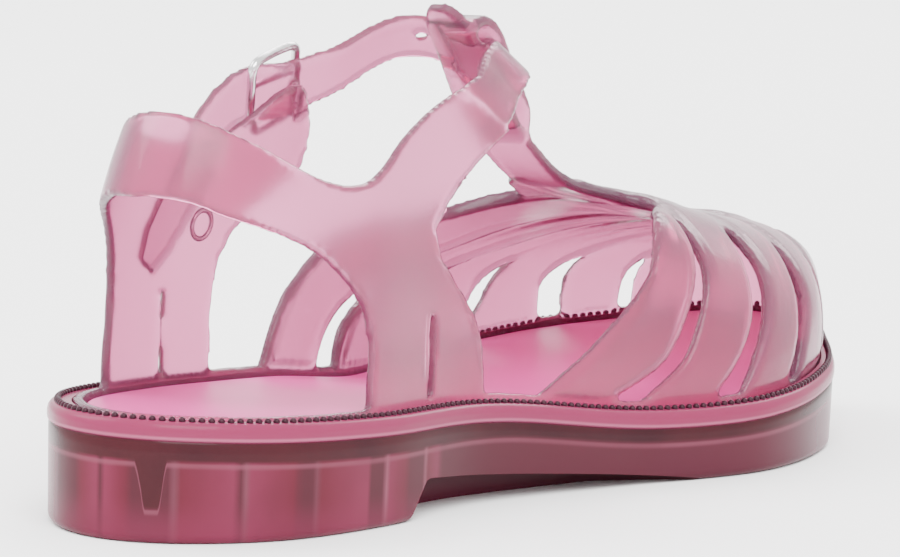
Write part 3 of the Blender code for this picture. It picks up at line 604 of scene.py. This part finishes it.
# Slots in the two legs: height up the side and the slot's middle station
LEG_SLOTS = {
    1: ((0.012, 0.365), (0.07, 0.366), (0.135, 0.368)),
    -1: ((0.012, 0.316), (0.08, 0.314), (0.145, 0.312)),
}


def share_outline(rows):
    return [(y * SOLE_LENGTH, z * INSTEP_HEIGHT) for y, z in rows]


def window_cutters():
    far = BALL_WIDTH
    ring = rim_line
    outlines = (
        ("collar_top", COLLAR_TOP, -far, far),
        ("collar_medial", curved(COLLAR_MEDIAL[:-2]) + COLLAR_MEDIAL[-2:], 0.0, far),
        ("collar_lateral", curved(COLLAR_LATERAL[:-2]) + COLLAR_LATERAL[-2:], -far, 0.0),
        ("heel_medial", curved(HEEL_MEDIAL) + tuple(ring(0.204, -0.060)), -0.004, far),
        ("heel_lateral", curved(HEEL_LATERAL) + tuple(ring(0.142, -0.060)), -far, -0.002),
    )
    cutters = [side_cutter(name, share_outline(rows), low, high) for name, rows, low, high in outlines]
    cutters.append(patch("instep_opening", INSTEP_OPENING, across=9))
    for i, rows in enumerate(MEDIAL_GAPS):
        cutters.append(patch(f"gap_medial_{i}", rows))
    for i, rows in enumerate(LATERAL_GAPS):
        cutters.append(patch(f"gap_lateral_{i}", [(2 - h, a, b) for h, a, b in rows]))
    for side, rows in LEG_SLOTS.items():
        half = SLOT_WIDTH / 2 / (SOLE_LENGTH * math.pi / 2)
        spine = [(h if side > 0 else 2 - h, t - half, t + half) for h, t in rows]
        cutters.append(patch(f"leg_slot_{side}", spine))
    return cutters


# Middle lines of the straps laid on the last: station, q, offset as a share of the strap's thickness, and
# share of the width
ANKLE_STRAP = (
    (0.400, 0.42, -0.55, 0.80),
    (0.420, 0.465, -0.55, 0.92),
    (0.439, 0.53, -0.60, 1.00),
    (0.464, 0.65, -1.10, 1.00),
    (0.490, 0.78, 0.10, 0.92),
    (0.507, 0.88, 0.95, 0.88),
    (0.511, 0.97, 0.85, 0.88),
    (0.507, 1.04, 0.85, 0.88),
    (0.499, 1.11, 1.10, 0.92),
    (0.480, 1.20, 0.60, 1.00),
    (0.456, 1.32, -0.20, 1.00),
    (0.438, 1.415, -0.20, 1.00),
    (0.420, 1.475, 0.60, 1.00),
    (0.399, 1.515, 1.40, 1.00),
    (0.376, 1.535, 2.20, 0.97),
    (0.355, 1.575, 1.90, 0.94),
    (0.338, 1.635, 1.20, 0.90),
    (0.324, 1.70, 0.80, 0.86),
    (0.308, 1.765, 0.75, 0.80),
    (0.296, 1.815, 0.75, 0.45),
)

# The bar up the instep, from the toe to its tip behind the strap: offset as a share of the wall
INSTEP_BAR = (
    (0.700, 1.0, -0.75, 1.10),
    (0.670, 1.0, -0.60, 1.15),
    (0.635, 1.0, -0.50, 1.15),
    (0.600, 1.0, -0.45, 1.08),
    (0.560, 1.0, -0.50, 1.02),
    (0.520, 1.0, -0.50, 1.00),
    (0.495, 1.0, -0.50, 0.90),
    (0.475, 1.0, -0.50, 0.75),
    (0.463, 1.0, -0.50, 0.55),
    (0.457, 1.0, -0.50, 0.30),
)

# The loop over the strap, both ends in the bar: offset as a share of the loop's thickness and room
STRAP_LOOP = (
    (0.562, 1.0, -0.45, 0.90),
    (0.559, 1.0, 0.45, 0.90),
    (0.555, 1.0, 1.25, 0.90),
    (0.547, 1.0, 1.65, 0.90),
    (0.530, 1.0, 1.80, 0.90),
    (0.512, 1.0, 1.90, 0.90),
    (0.500, 1.0, 1.90, 0.90),
    (0.489, 1.0, 1.55, 0.90),
    (0.483, 1.0, 0.70, 0.90),
    (0.480, 1.0, -0.45, 0.90),
)

# Where the vamp's straps cross the ridge: station
CROSSINGS = (0.680, 0.735, 0.790, 0.845)
CROSS_WIDTH = 0.0085
CROSS_REACH = 0.22
STRIP_WIDTH = 0.0034
STRIP_PLACES = (-0.0050, 0.0, 0.0050)
STRIP_THICKNESS = 0.0018


# Bands that the vamp's straps show as, from the foot to the ridge: height up the side, rear and front station
LATERAL_BANDS = (
    (
        (0.02, 0.417, 0.466), (0.10, 0.431, 0.486), (0.20, 0.465, 0.529), (0.30, 0.507, 0.580),
        (0.40, 0.562, 0.629), (0.60, 0.618, 0.680), (0.80, 0.648, 0.703), (1.00, 0.656, 0.712),
    ),
    (
        (0.02, 0.505, 0.551), (0.11, 0.519, 0.562), (0.21, 0.562, 0.592), (0.31, 0.606, 0.640),
        (0.40, 0.650, 0.678), (0.60, 0.692, 0.728), (0.80, 0.714, 0.752), (1.00, 0.722, 0.760),
    ),
    (
        (0.02, 0.582, 0.640), (0.11, 0.591, 0.657), (0.21, 0.618, 0.668), (0.31, 0.661, 0.698),
        (0.38, 0.692, 0.728), (0.60, 0.740, 0.780), (0.80, 0.763, 0.804), (1.00, 0.770, 0.812),
    ),
    (
        (0.02, 0.670, 0.726), (0.12, 0.686, 0.727), (0.24, 0.696, 0.740), (0.34, 0.722, 0.768),
        (0.50, 0.770, 0.815), (0.75, 0.814, 0.852), (1.00, 0.824, 0.862),
    ),
    (
        (0.02, 0.758, 0.793), (0.13, 0.758, 0.799), (0.25, 0.767, 0.815), (0.34, 0.790, 0.836),
        (0.60, 0.850, 0.885),
    ),
)
MEDIAL_BANDS = (
    (
        (0.02, 0.460, 0.496), (0.10, 0.492, 0.532), (0.20, 0.521, 0.549), (0.40, 0.556, 0.577),
        (0.54, 0.579, 0.593), (0.62, 0.595, 0.604),
    ),
    (
        (0.02, 0.527, 0.564), (0.12, 0.556, 0.587), (0.25, 0.574, 0.610), (0.41, 0.596, 0.629),
        (0.57, 0.613, 0.649), (0.66, 0.626, 0.667), (0.80, 0.648, 0.692), (1.00, 0.656, 0.705),
    ),
    (
        (0.02, 0.596, 0.638), (0.12, 0.614, 0.657), (0.25, 0.637, 0.673), (0.41, 0.659, 0.689),
        (0.56, 0.675, 0.708), (0.66, 0.688, 0.724), (0.80, 0.707, 0.746), (1.00, 0.716, 0.760),
    ),
    (
        (0.02, 0.664, 0.712), (0.12, 0.679, 0.725), (0.25, 0.699, 0.742), (0.41, 0.713, 0.760),
        (0.56, 0.728, 0.780), (0.72, 0.748, 0.799), (1.00, 0.770, 0.815),
    ),
    (
        (0.02, 0.736, 0.796), (0.16, 0.753, 0.809), (0.32, 0.771, 0.828), (0.45, 0.788, 0.848),
        (0.70, 0.818, 0.868),
    ),
)
BAND_PROUD = 0.00045
BAND_ACROSS = 6


def vamp_bands():
    bands = []
    for side, tables in ((1, MEDIAL_BANDS), (-1, LATERAL_BANDS)):
        for i, rows in enumerate(tables):
            spine = [(h if side > 0 else 2 - h, a, b) for h, a, b in rows]
            name = f"band_{side}_{i}"
            bands.append(patch(name, spine, BAND_ACROSS, BAND_PROUD, -WALL - BAND_PROUD))
    return bands


def rolled_edge(outline, side):
    """A round edge along an opening cut from the side. Its line is looked up on the last's surface."""
    t, h = np.meshgrid(np.linspace(0.15, 0.65, EDGE_GRID), np.linspace(0, 1, EDGE_GRID), indexing="ij")
    grid = last_point(t, h if side > 0 else 2 - h, -WALL / 2)
    path = []
    for y, z in share_outline(outline):
        gap = (grid[..., 1] + SOLE_LENGTH / 2 - y) ** 2 + (grid[..., 2] - z) ** 2
        path.append(grid[np.unravel_index(np.argmin(gap), gap.shape)])
    path = np.array(path)
    for _ in range(EDGE_ROUNDS):
        path[1:-1] = (path[:-2] + 2 * path[1:-1] + path[2:]) / 4
    _, out, across = ribbon_frames(path, np.tile((side, 0.0, 0.5), (len(path), 1)))
    turn = np.linspace(0, 2 * np.pi, 13)[:-1]
    rings = []
    for k, (p, o, c) in enumerate(zip(path, out, across)):
        nearest_end = min(k, len(path) - 1 - k)
        radius = EDGE_RADIUS * min(1.0, EDGE_END + nearest_end / EDGE_TAPER)
        rings.append(p + radius * (np.outer(np.cos(turn), o) + np.outer(np.sin(turn), c)))
    return new_object("rolled_edge", loft("rolled_edge", rings))


def shared(rows, unit):
    """Rows of a strap with their offsets turned from shares into metres."""
    return [(t, q, offset * unit, share) for t, q, offset, share in rows]


def ankle_ribbon():
    """The strap, which starts thin inside the medial arm's wall."""
    strap = Ribbon(shared(ANKLE_STRAP, STRAP_THICKNESS), STRAP_WIDTH, STRAP_THICKNESS, STRAP_STEPS)
    strap.thin = np.interp(strap.q, (0.50, 0.60), (0.6, 1.0))
    return strap


def weave_ribbons():
    """Strips along the bar and straps across it, one over and the next under."""
    woven = []
    across = 9
    for c, t in enumerate(CROSSINGS):
        rows = []
        for k in range(across):
            q = 1 + CROSS_REACH * (2 * k / (across - 1) - 1)
            middle = 1 - abs(2 * k / (across - 1) - 1)
            over = 0.45 if c % 2 == 0 else 0.25
            rows.append((t + 0.012 * (middle - 1), q, WALL * (-0.46 + over * min(1, 2 * middle)), 1.0))
        woven.append((f"cross_{c}", Ribbon(rows, CROSS_WIDTH, WALL, CROSS_STEPS)))
    first, last = 0.615, 0.885
    for s, place in enumerate(STRIP_PLACES):
        rows = []
        steps = 13
        for k in range(steps):
            t = first + (last - first) * k / (steps - 1)
            wave = math.cos(math.pi * (t - CROSSINGS[0]) / (CROSSINGS[1] - CROSSINGS[0]))
            raised = wave if s % 2 == 0 else -wave
            ends = min(1.0, k / 2, (steps - 1 - k) / 2)
            rows.append((t, 1.0, WALL * (-0.05 + 0.30 * raised * ends), 1.0))
        strip = Ribbon(rows, STRIP_WIDTH, STRIP_THICKNESS, STRIP_STEPS, flat=True)
        narrow = np.interp(strip.t, [first, 0.80, last], [1.0, 0.95, 0.55])
        strip.points = strip.points + strip.cross * (place * narrow)[:, None]
        woven.append((f"strip_{s}", strip))
    return woven


def round_hole(name, ribbon, place):
    """A round cutter through a strap."""
    bm = bmesh.new()
    bmesh.ops.create_cone(
        bm, cap_ends=True, segments=28, radius1=HOLE_RADIUS, radius2=HOLE_RADIUS, depth=STRAP_THICKNESS * 2,
    )
    centre = ribbon.at(place)
    normal = ribbon.at(place, outward=1.0) - centre
    turn = normal.to_track_quat("Z", "Y").to_matrix().to_4x4()
    bm.transform(Matrix.Translation(centre) @ turn)
    return new_object(name, mesh_from(name, bm))


# Holes in the ankle strap, at shares of its run
STRAP_HOLES = (0.46, 0.53, 0.60)
HOLE_RADIUS = 0.0013

# The oval slot low on the lateral side of the heel band, and its metal ring
RING_STATION = 0.343
RING_Q = 1.755
RING_RADIUS = 0.0030
RING_WIRE = 0.0014


def ring_slot():
    """The oval slot that the metal ring lies in."""
    bm = bmesh.new()
    bmesh.ops.create_cone(bm, cap_ends=True, segments=40, radius1=1.0, radius2=1.0, depth=2.0)
    outer = RING_RADIUS + RING_WIRE / 2 + CLEAR
    bmesh.ops.scale(bm, vec=(outer, outer, WALL * 2), verts=bm.verts)
    centre, turn = ring_place()
    bm.transform(Matrix.Translation(centre) @ turn)
    return new_object("ring_slot", mesh_from("ring_slot", bm))


def ring_place():
    centre = Vector(last_point(RING_STATION, RING_Q, -WALL / 2))
    normal = Vector(last_normal(RING_STATION, RING_Q))
    return centre, normal.to_track_quat("Z", "Y").to_matrix().to_4x4()


def join(item, tool, operation):
    change = item.modifiers.new(tool.name, "BOOLEAN")
    change.operation = operation
    change.solver = "MANIFOLD"
    change.object = tool


def relaxed(item, rounds):
    """Evens out the steps of the voxel mesh without shrinking it: each round smooths and then pushes back."""
    mesh = item.data
    count = len(mesh.vertices)
    coords = np.empty(count * 3)
    mesh.vertices.foreach_get("co", coords)
    coords = coords.reshape(-1, 3)
    ends = np.empty(len(mesh.edges) * 2, int)
    mesh.edges.foreach_get("vertices", ends)
    a, b = ends[::2], ends[1::2]
    degree = np.bincount(a, minlength=count) + np.bincount(b, minlength=count)
    for k in range(rounds * 2):
        share = SMOOTH_SHARE if k % 2 == 0 else PUSH_SHARE
        mean = np.empty_like(coords)
        for c in range(3):
            total = np.bincount(a, coords[b, c], count) + np.bincount(b, coords[a, c], count)
            mean[:, c] = total / degree
        coords = coords + share * (mean - coords)
    mesh.vertices.foreach_set("co", coords.ravel())
    mesh.update()


def make_upper():
    item = new_object("upper_moulding", shell())
    thicken = item.modifiers.new("wall", "SOLIDIFY")
    thicken.thickness = WALL
    thicken.offset = -1
    thicken.use_even_offset = True
    cutters = window_cutters()
    for cutter in cutters:
        join(item, cutter, "DIFFERENCE")
    strap = ankle_ribbon()
    bar = Ribbon(shared(INSTEP_BAR, WALL), BAR_WIDTH, WALL, BAR_STEPS, flat=True)
    loop_rows = shared(STRAP_LOOP, LOOP_THICKNESS + LOOP_ROOM)
    loop = Ribbon(loop_rows, BAR_WIDTH, LOOP_THICKNESS, LOOP_STEPS, flat=True)
    ribbons = [("ankle_strap", strap), ("instep_bar", bar), ("strap_loop", loop)] + weave_ribbons()
    for name, ribbon in ribbons:
        tool = new_object(name, ribbon.mesh(name))
        cutters.append(tool)
        join(item, tool, "UNION")
    for band in vamp_bands() + [rolled_edge(curved(COLLAR_MEDIAL[2:-2]), 1)]:
        cutters.append(band)
        join(item, band, "UNION")
    drills = [round_hole(f"hole_{i}", strap, place) for i, place in enumerate(STRAP_HOLES)] + [ring_slot()]
    for drill in drills:
        join(item, drill, "DIFFERENCE")
    fine = item.modifiers.new("fine", "REMESH")
    fine.mode = "VOXEL"
    fine.voxel_size = VOXEL
    apply_modifiers(item)
    for tool in cutters + drills:
        bpy.data.objects.remove(tool)
    relaxed(item, SOFTEN_ROUNDS)
    fewer = item.modifiers.new("fewer", "DECIMATE")
    fewer.ratio = KEPT_FACES
    apply_modifiers(item)
    item.data.shade_smooth()
    return finish_piece(item, clear_pvc(), "upper_pvc", "upper")


# Materials


class Nodes:
    """A material's node tree, with short calls for the nodes that are used here."""

    def __init__(self, name):
        self.material = bpy.data.materials.new(name)
        self.material.use_nodes = True
        self.tree = self.material.node_tree
        self.shader = self.tree.nodes["Principled BSDF"]
        self.output = self.tree.nodes["Material Output"]

    def add(self, kind, **values):
        node = self.tree.nodes.new(kind)
        for key, value in values.items():
            setattr(node, key, value)
        return node

    def link(self, source, target):
        self.tree.links.new(source, target)

    def attribute(self, name):
        return self.add("ShaderNodeAttribute", attribute_name=name).outputs["Fac"]

    def math(self, operation, a, b=None):
        node = self.add("ShaderNodeMath", operation=operation)
        for socket, value in zip(node.inputs, (a, b)):
            if value is None:
                continue
            if isinstance(value, (int, float)):
                socket.default_value = value
            else:
                self.link(value, socket)
        return node.outputs["Value"]

    def step(self, value, low, high):
        """0 below low, 1 above high, smooth between them."""
        node = self.add("ShaderNodeMapRange", interpolation_type="SMOOTHSTEP")
        self.link(value, node.inputs["Value"])
        node.inputs["From Min"].default_value = low
        node.inputs["From Max"].default_value = high
        return node.outputs["Result"]

    def ramp(self, value, stops, interpolation="LINEAR"):
        node = self.add("ShaderNodeValToRGB")
        node.color_ramp.interpolation = interpolation
        points = node.color_ramp.elements
        while len(points) < len(stops):
            points.new(0.5)
        for point, (place, colour) in zip(points, stops):
            point.position = place
        for point, (place, colour) in zip(points, stops):
            point.color = (*colour, 1) if len(colour) == 3 else colour
        self.link(value, node.inputs["Fac"])
        return node.outputs["Color"]

    def mix(self, share, a, b):
        node = self.add("ShaderNodeMix", data_type="RGBA")
        if isinstance(share, (int, float)):
            node.inputs["Factor"].default_value = share
        else:
            self.link(share, node.inputs["Factor"])
        for socket, value in ((node.inputs[6], a), (node.inputs[7], b)):
            if isinstance(value, tuple):
                socket.default_value = (*value, 1)
            else:
                self.link(value, socket)
        return node.outputs[2]

    def noise(self, scale, detail=3.0, stretch=(1, 1, 1)):
        place = self.add("ShaderNodeTexCoord").outputs["Object"]
        mapping = self.add("ShaderNodeMapping")
        mapping.inputs["Scale"].default_value = stretch
        self.link(place, mapping.inputs["Vector"])
        node = self.add("ShaderNodeTexNoise")
        node.inputs["Scale"].default_value = scale
        node.inputs["Detail"].default_value = detail
        self.link(mapping.outputs["Vector"], node.inputs["Vector"])
        return node.outputs["Fac"]

    def bump(self, height, strength, distance):
        node = self.add("ShaderNodeBump")
        node.inputs["Strength"].default_value = strength
        node.inputs["Distance"].default_value = distance
        self.link(height, node.inputs["Height"])
        self.link(node.outputs["Normal"], self.shader.inputs["Normal"])

    def set(self, **values):
        for key, value in values.items():
            self.shader.inputs[key.replace("_", " ")].default_value = value


def clear_pvc():
    """Frosted, translucent pale pink PVC. The volume makes edges and long ways through it darker."""
    made = Nodes("upper_pvc")
    colour = made.mix(made.noise(60.0), (0.75, 0.28, 0.47), (0.80, 0.31, 0.51))
    made.link(colour, made.shader.inputs["Base Color"])
    made.set(Roughness=0.22, IOR=1.24, Transmission_Weight=0.90)
    made.set(Coat_Weight=0.05, Coat_Roughness=0.10)
    made.bump(made.noise(250.0, 2.0), 0.03, 0.0002)
    volume = made.add("ShaderNodeVolumeAbsorption")
    volume.inputs["Color"].default_value = (0.45, 0.0, 0.20, 1)
    volume.inputs["Density"].default_value = 240.0
    made.link(volume.outputs["Volume"], made.output.inputs["Volume"])
    return made.material


# Side of the sole: run along the outline in mm from the heel's back, and the depth of the dark band's lower
# edge in mm. The dark band under the lip is painted shade: the recess under the insole seen darker through
# the wall. The band reaches down in one tab, and the wall's cells show as blocks between ribs.
SHADE_BAND_EDGE = ((0.0, 7.9), (13.8, 7.6), (60.0, 7.6), (110.0, 6.6), (290.0, 6.2))
TAB = (7.4, 9.6, 11.9, 13.8)
TAB_DEPTH = 9.2
CELLS = ((0.0, 6.6), (15.0, 28.2), (29.0, 41.5), (45.5, 61.0), (65.0, 73.5), (79.0, 86.0))
RUN_SCALE = 300.0
DEPTH_SCALE = 25.0


def sole_pvc():
    """Dark pink PVC: a pale lip with a painted highlight line at its lower edge, a dark band of painted shade
    under it, and the moulded cells behind the wall, with a painted highlight line beside each rib.
    """
    made = Nodes("sole_pvc")
    run = made.math("DIVIDE", made.math("ABSOLUTE", made.attribute("run")), RUN_SCALE)
    depth = made.attribute("depth")
    limit = made.ramp(run, [(r / RUN_SCALE, (d / DEPTH_SCALE,) * 3) for r, d in SHADE_BAND_EDGE])
    limit = made.math("MULTIPLY", limit, DEPTH_SCALE)
    tab = [made.step(made.attribute("run"), low, high) for low, high in (TAB[:2], TAB[2:])]
    limit = made.math("ADD", limit, made.math("MULTIPLY", made.math("SUBTRACT", *tab), TAB_DEPTH))
    past_shade_band = made.step(made.math("SUBTRACT", depth, limit), -0.5, 0.5)
    stops = []
    # Each cell starts with a dark rib and then a thin lighter line, a painted highlight along the rib's edge.
    rib, line = (0.052, 0.012, 0.018), (0.165, 0.050, 0.075)
    cells = ((0.120, 0.017, 0.038), (0.080, 0.011, 0.020))
    for k, (first, last) in enumerate(CELLS):
        near, far = cells[k % 2], cells[1 - k % 2]
        stops += [(first + 0.1, rib), (first + 0.5, line), (first + 1.1, near)]
        stops += [(last - 1.2, far), (last - 0.1, rib)]
    stops = [(max(place, 0) / RUN_SCALE, colour) for place, colour in stops]
    stops += [(200.0 / RUN_SCALE, (0.066, 0.013, 0.023)), (245.0 / RUN_SCALE, (0.16, 0.040, 0.072))]
    wall = made.ramp(run, stops)
    low = made.step(depth, 14.0, 22.0)
    wall = made.mix(made.math("MULTIPLY", low, 0.6), wall, (0.125, 0.017, 0.040))
    shelf = made.math("SUBTRACT", depth, limit)
    shelf = made.math("SUBTRACT", made.step(shelf, 0.1, 0.6), made.step(shelf, 0.8, 1.6))
    wall = made.mix(made.math("MULTIPLY", shelf, 0.55), wall, (0.165, 0.045, 0.070))
    cloud = made.step(made.noise(45.0, 4.0), 0.35, 0.75)
    wall = made.mix(made.math("MULTIPLY", cloud, 0.35), wall, (0.060, 0.012, 0.019))
    # Painted shade: the dark band under the lip stands in for the recess under the insole seen through the
    # wall; the noise only varies its tone.
    band = made.mix(cloud, (0.040, 0.009, 0.012), (0.028, 0.007, 0.010))
    colour = made.mix(past_shade_band, band, wall)
    # Painted highlight: a thin lighter line at the lip's lower edge, for light on the lip's rounded roll.
    lip_highlight_line = made.math("SUBTRACT", made.step(depth, 2.7, 3.2), made.step(depth, 3.5, 3.9))
    past_lip = made.step(depth, 3.5, 4.1)
    lip = made.mix(lip_highlight_line, (0.175, 0.022, 0.060), (0.27, 0.065, 0.120))
    colour = made.mix(past_lip, lip, colour)
    made.link(colour, made.shader.inputs["Base Color"])
    made.set(Roughness=0.25, IOR=1.50, Specular_IOR_Level=0.05)
    made.set(Subsurface_Weight=0.15, Subsurface_Scale=0.002)
    made.shader.inputs["Subsurface Radius"].default_value = (1.0, 0.35, 0.45)
    made.set(Coat_Weight=0.05, Coat_Roughness=0.08)
    made.bump(made.noise(120.0, 3.0), 0.08, 0.0004)
    return made.material


def bead_pvc():
    made = Nodes("bead_pvc")
    colour = made.mix(made.noise(400.0), (0.016, 0.003, 0.007), (0.040, 0.006, 0.016))
    made.link(colour, made.shader.inputs["Base Color"])
    made.set(Roughness=0.30, Specular_IOR_Level=0.12, Coat_Weight=0.04, Coat_Roughness=0.1)
    return made.material


def insole_satin():
    """Satin pink footbed with a fine grain."""
    made = Nodes("insole_satin")
    cloud = made.noise(18.0, 2.0)
    colour = made.mix(cloud, (0.46, 0.022, 0.19), (0.54, 0.030, 0.235))
    made.link(colour, made.shader.inputs["Base Color"])
    made.set(Roughness=0.45, Specular_IOR_Level=0.22, Sheen_Weight=0.04, Sheen_Roughness=0.4)
    made.bump(made.noise(2400.0, 2.0), 0.12, 0.0001)
    return made.material


def buckle_metal():
    made = Nodes("buckle_metal")
    worn = made.noise(300.0, 3.0, (1, 1, 6))
    made.link(made.mix(worn, (0.52, 0.51, 0.51), (0.66, 0.65, 0.66)), made.shader.inputs["Base Color"])
    made.set(Metallic=1.0, Roughness=0.22)
    made.bump(made.noise(1500.0, 2.0), 0.05, 0.0001)
    return made.material


# Pieces


def quarter(inset, low, radius, steps):
    """Levels round a quarter circle, from a flat face to an upright one."""
    levels = []
    for k in range(steps + 1):
        a = math.pi / 2 * k / steps
        levels.append((inset + radius * (1 - math.sin(a)), low + radius * (1 - math.cos(a))))
    return levels


def make_sole():
    levels = []
    for inset, rise in quarter(WALL_INSET_LOW, 0.0, SOLE_EDGE, 4):
        levels.append((inset, lambda y, rise=rise: sole_bottom(y) + rise))
    for k in range(WALL_ROWS + 1):
        share = k / WALL_ROWS
        levels.append((
            WALL_INSET_LOW + (WALL_INSET_HIGH - WALL_INSET_LOW) * share,
            lambda y, share=share: (sole_bottom(y) + SOLE_EDGE * 1.4) * (1 - share)
            + (rim_height(y) - LIP_HEIGHT - 0.0005) * share,
        ))
    lip = (
        (0.0006, LIP_HEIGHT), (0.0001, LIP_HEIGHT - 0.0004), (0.0, LIP_HEIGHT - 0.0010), (0.0, 0.0018),
        (0.0002, 0.0010), (0.0006, 0.0004), (0.0012, 0.0001), (0.0018, 0.0),
    )
    levels += [(inset, below_rim(depth)) for inset, depth in lip]
    item = new_object("sole_moulding", outline_stack("sole_moulding", levels))
    recess = outline_stack(
        "recess",
        (
            (lambda t: foot_inset(t) - CLEAR, below_rim(RECESS_DEPTH)),
            (lambda t: foot_inset(t) - CLEAR, below_rim(-0.004)),
        ),
    )
    cut(item, new_object("recess", recess), arch_cutter(1), arch_cutter(-1))
    store_run(item)
    smooth(item, 35)
    return finish_piece(item, sole_pvc(), "sole_pvc", "sole")


def store_run(item):
    """Run along the outline from the heel's back and depth below the rim, in mm, as the mesh's attributes."""
    t = np.linspace(0, 1, 401)
    places, runs = [], []
    for side in (1, -1):
        line = edge_point(side, t)
        steps = np.linalg.norm(np.diff(line, axis=0), axis=1)
        places.append(line)
        runs.append(side * np.concatenate([[0], np.cumsum(steps)]) * 1000)
    places, runs = np.concatenate(places), np.concatenate(runs)
    tree = kdtree.KDTree(len(places))
    for k, place in enumerate(places):
        tree.insert((place[0], place[1] - SOLE_LENGTH / 2, 0), k)
    tree.balance()
    run = item.data.attributes.new("run", "FLOAT", "POINT")
    depth = item.data.attributes.new("depth", "FLOAT", "POINT")
    for k, vertex in enumerate(item.data.vertices):
        nearest = tree.find((vertex.co.x, vertex.co.y, 0))[1]
        run.data[k].value = runs[nearest]
        depth.data[k].value = (rim_height(vertex.co.y + SOLE_LENGTH / 2) - vertex.co.z) * 1000


def make_insole():
    bottom = RECESS_DEPTH - CLEAR

    def inset(t):
        return foot_inset(t) + WALL + CLEAR

    levels = [(inset, below_rim(bottom))]
    steps = 4
    for k in range(steps + 1):
        a = math.pi / 2 * k / steps
        inwards = INSOLE_EDGE * (1 - math.cos(a))
        down = INSOLE_TOP + INSOLE_EDGE * (1 - math.sin(a))
        levels.append((lambda t, inwards=inwards: inset(t) + inwards, below_rim(down)))
    item = new_object("insole_bed", outline_stack("insole_bed", levels))
    smooth(item, 60)
    return finish_piece(item, insole_satin(), "insole_satin", "insole")


def make_beads():
    """The row of beads round the rim, just outside the upper's foot."""
    ball = bmesh.new()
    bmesh.ops.create_uvsphere(ball, u_segments=8, v_segments=6, radius=BEAD_RADIUS)
    corners = np.array([v.co for v in ball.verts])
    faces = [[v.index for v in f.verts] for f in ball.faces]
    ball.free()
    t = np.linspace(0, 1, 1201)
    verts, polys = [], []
    for side in (1, -1):
        line = plan_point(side, t, foot_inset(t) * BEAD_INSET_SHARE)
        run = np.concatenate([[0], np.cumsum(np.linalg.norm(np.diff(line, axis=0), axis=1))])
        count = round(run[-1] / BEAD_PITCH)
        places = np.linspace(0, run[-1], count + 1)[1 if side < 0 else 0:count + (0 if side < 0 else 1)]
        for place in places:
            x, y = (np.interp(place, run, line[:, c]) for c in range(2))
            centre = np.array([x, y - SOLE_LENGTH / 2, rim_height(y) + BEAD_RADIUS * 0.25])
            base = len(verts) * len(corners)
            verts.append(corners + centre)
            polys += [[base + i for i in face] for face in faces]
    mesh = bpy.data.meshes.new("rim_beads")
    mesh.from_pydata(np.concatenate(verts).tolist(), [], polys)
    mesh.shade_smooth()
    item = new_object("rim_beads", mesh)
    return finish_piece(item, bead_pvc(), "sole_pvc")


def make_wire(node, name, material):
    """A CAD wire with its facets rounded."""
    bm = bmesh.new()
    bm.from_mesh(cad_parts[node].data)
    bmesh.ops.remove_doubles(bm, verts=bm.verts, dist=1e-6)
    item = new_object(name, mesh_from(name, bm))
    rounder = item.modifiers.new("rounder", "SUBSURF")
    rounder.levels = 2
    rounder.render_levels = 2
    apply_modifiers(item)
    item.data.shade_smooth()
    return finish_piece(item, material, "buckle_metal", node)


# Stage


AZIMUTH, ELEVATION, ROLL = 57, 7.6, 1.8
AIM = (0.0263, -0.0495, 0.040)
DISTANCE = 1.3
LENS = 264.3
SHIFT_UP = 31.5 / 900
WORLD_STRENGTH = 2.4
FLOOR_PALE = 0.93


def make_camera():
    azimuth, elevation, roll = math.radians(AZIMUTH), math.radians(ELEVATION), math.radians(ROLL)
    ahead = Vector((
        -math.cos(azimuth) * math.cos(elevation),
        math.sin(azimuth) * math.cos(elevation),
        -math.sin(elevation),
    ))
    level = Vector((math.sin(azimuth), math.cos(azimuth), 0))
    upright = level.cross(ahead)
    right = level * math.cos(roll) + upright * math.sin(roll)
    up = right.cross(ahead)
    data = bpy.data.cameras.new("camera")
    data.sensor_width = 36
    data.lens = LENS
    data.shift_y = SHIFT_UP
    item = bpy.data.objects.new("camera", data)
    place = Vector(AIM) - ahead * DISTANCE
    item.matrix_world = Matrix((
        (right.x, up.x, -ahead.x, place.x),
        (right.y, up.y, -ahead.y, place.y),
        (right.z, up.z, -ahead.z, place.z),
        (0, 0, 0, 1),
    ))
    bpy.context.scene.collection.objects.link(item)
    bpy.context.scene.camera = item


def make_light(name, place, aim, size, power, colour=(1, 1, 1)):
    data = bpy.data.lights.new(name, "AREA")
    data.shape = "RECTANGLE"
    data.size, data.size_y = size
    data.energy = power
    data.color = colour
    item = bpy.data.objects.new(name, data)
    item.location = place
    item.rotation_euler = (Vector(aim) - Vector(place)).to_track_quat("-Z", "Y").to_euler()
    bpy.context.scene.collection.objects.link(item)


def make_stage():
    bm = bmesh.new()
    bmesh.ops.create_grid(bm, x_segments=1, y_segments=1, size=6)
    floor = new_object("floor", mesh_from("floor", bm))
    made = Nodes("floor")
    made.set(Base_Color=(FLOOR_PALE, FLOOR_PALE, FLOOR_PALE, 1), Roughness=0.9)
    floor.data.materials.append(made.material)
    world = bpy.data.worlds.new("studio")
    world.use_nodes = True
    bpy.context.scene.world = world
    sky = world.node_tree.nodes["Background"]
    sky.inputs["Color"].default_value = (1, 1, 1, 1)
    sky.inputs["Strength"].default_value = WORLD_STRENGTH
    make_light("key", (0.9, -1.0, 1.5), (0, 0, 0.03), (1.2, 1.2), 70)
    make_light("side", (-1.2, -0.5, 1.2), (0, 0, 0.03), (1.0, 1.0), 30)
    make_light("back", (-0.4, 1.3, 1.1), (0, 0, 0.04), (1.4, 0.8), 30)


make_upper()
make_sole()
make_insole()
make_beads()
metal = buckle_metal()
make_wire("buckle_frame", "buckle_frame_wire", metal)
make_wire("buckle_prong", "buckle_prong_wire", metal)
make_wire("slot_ring", "slot_ring_wire", metal)
make_camera()
make_stage()
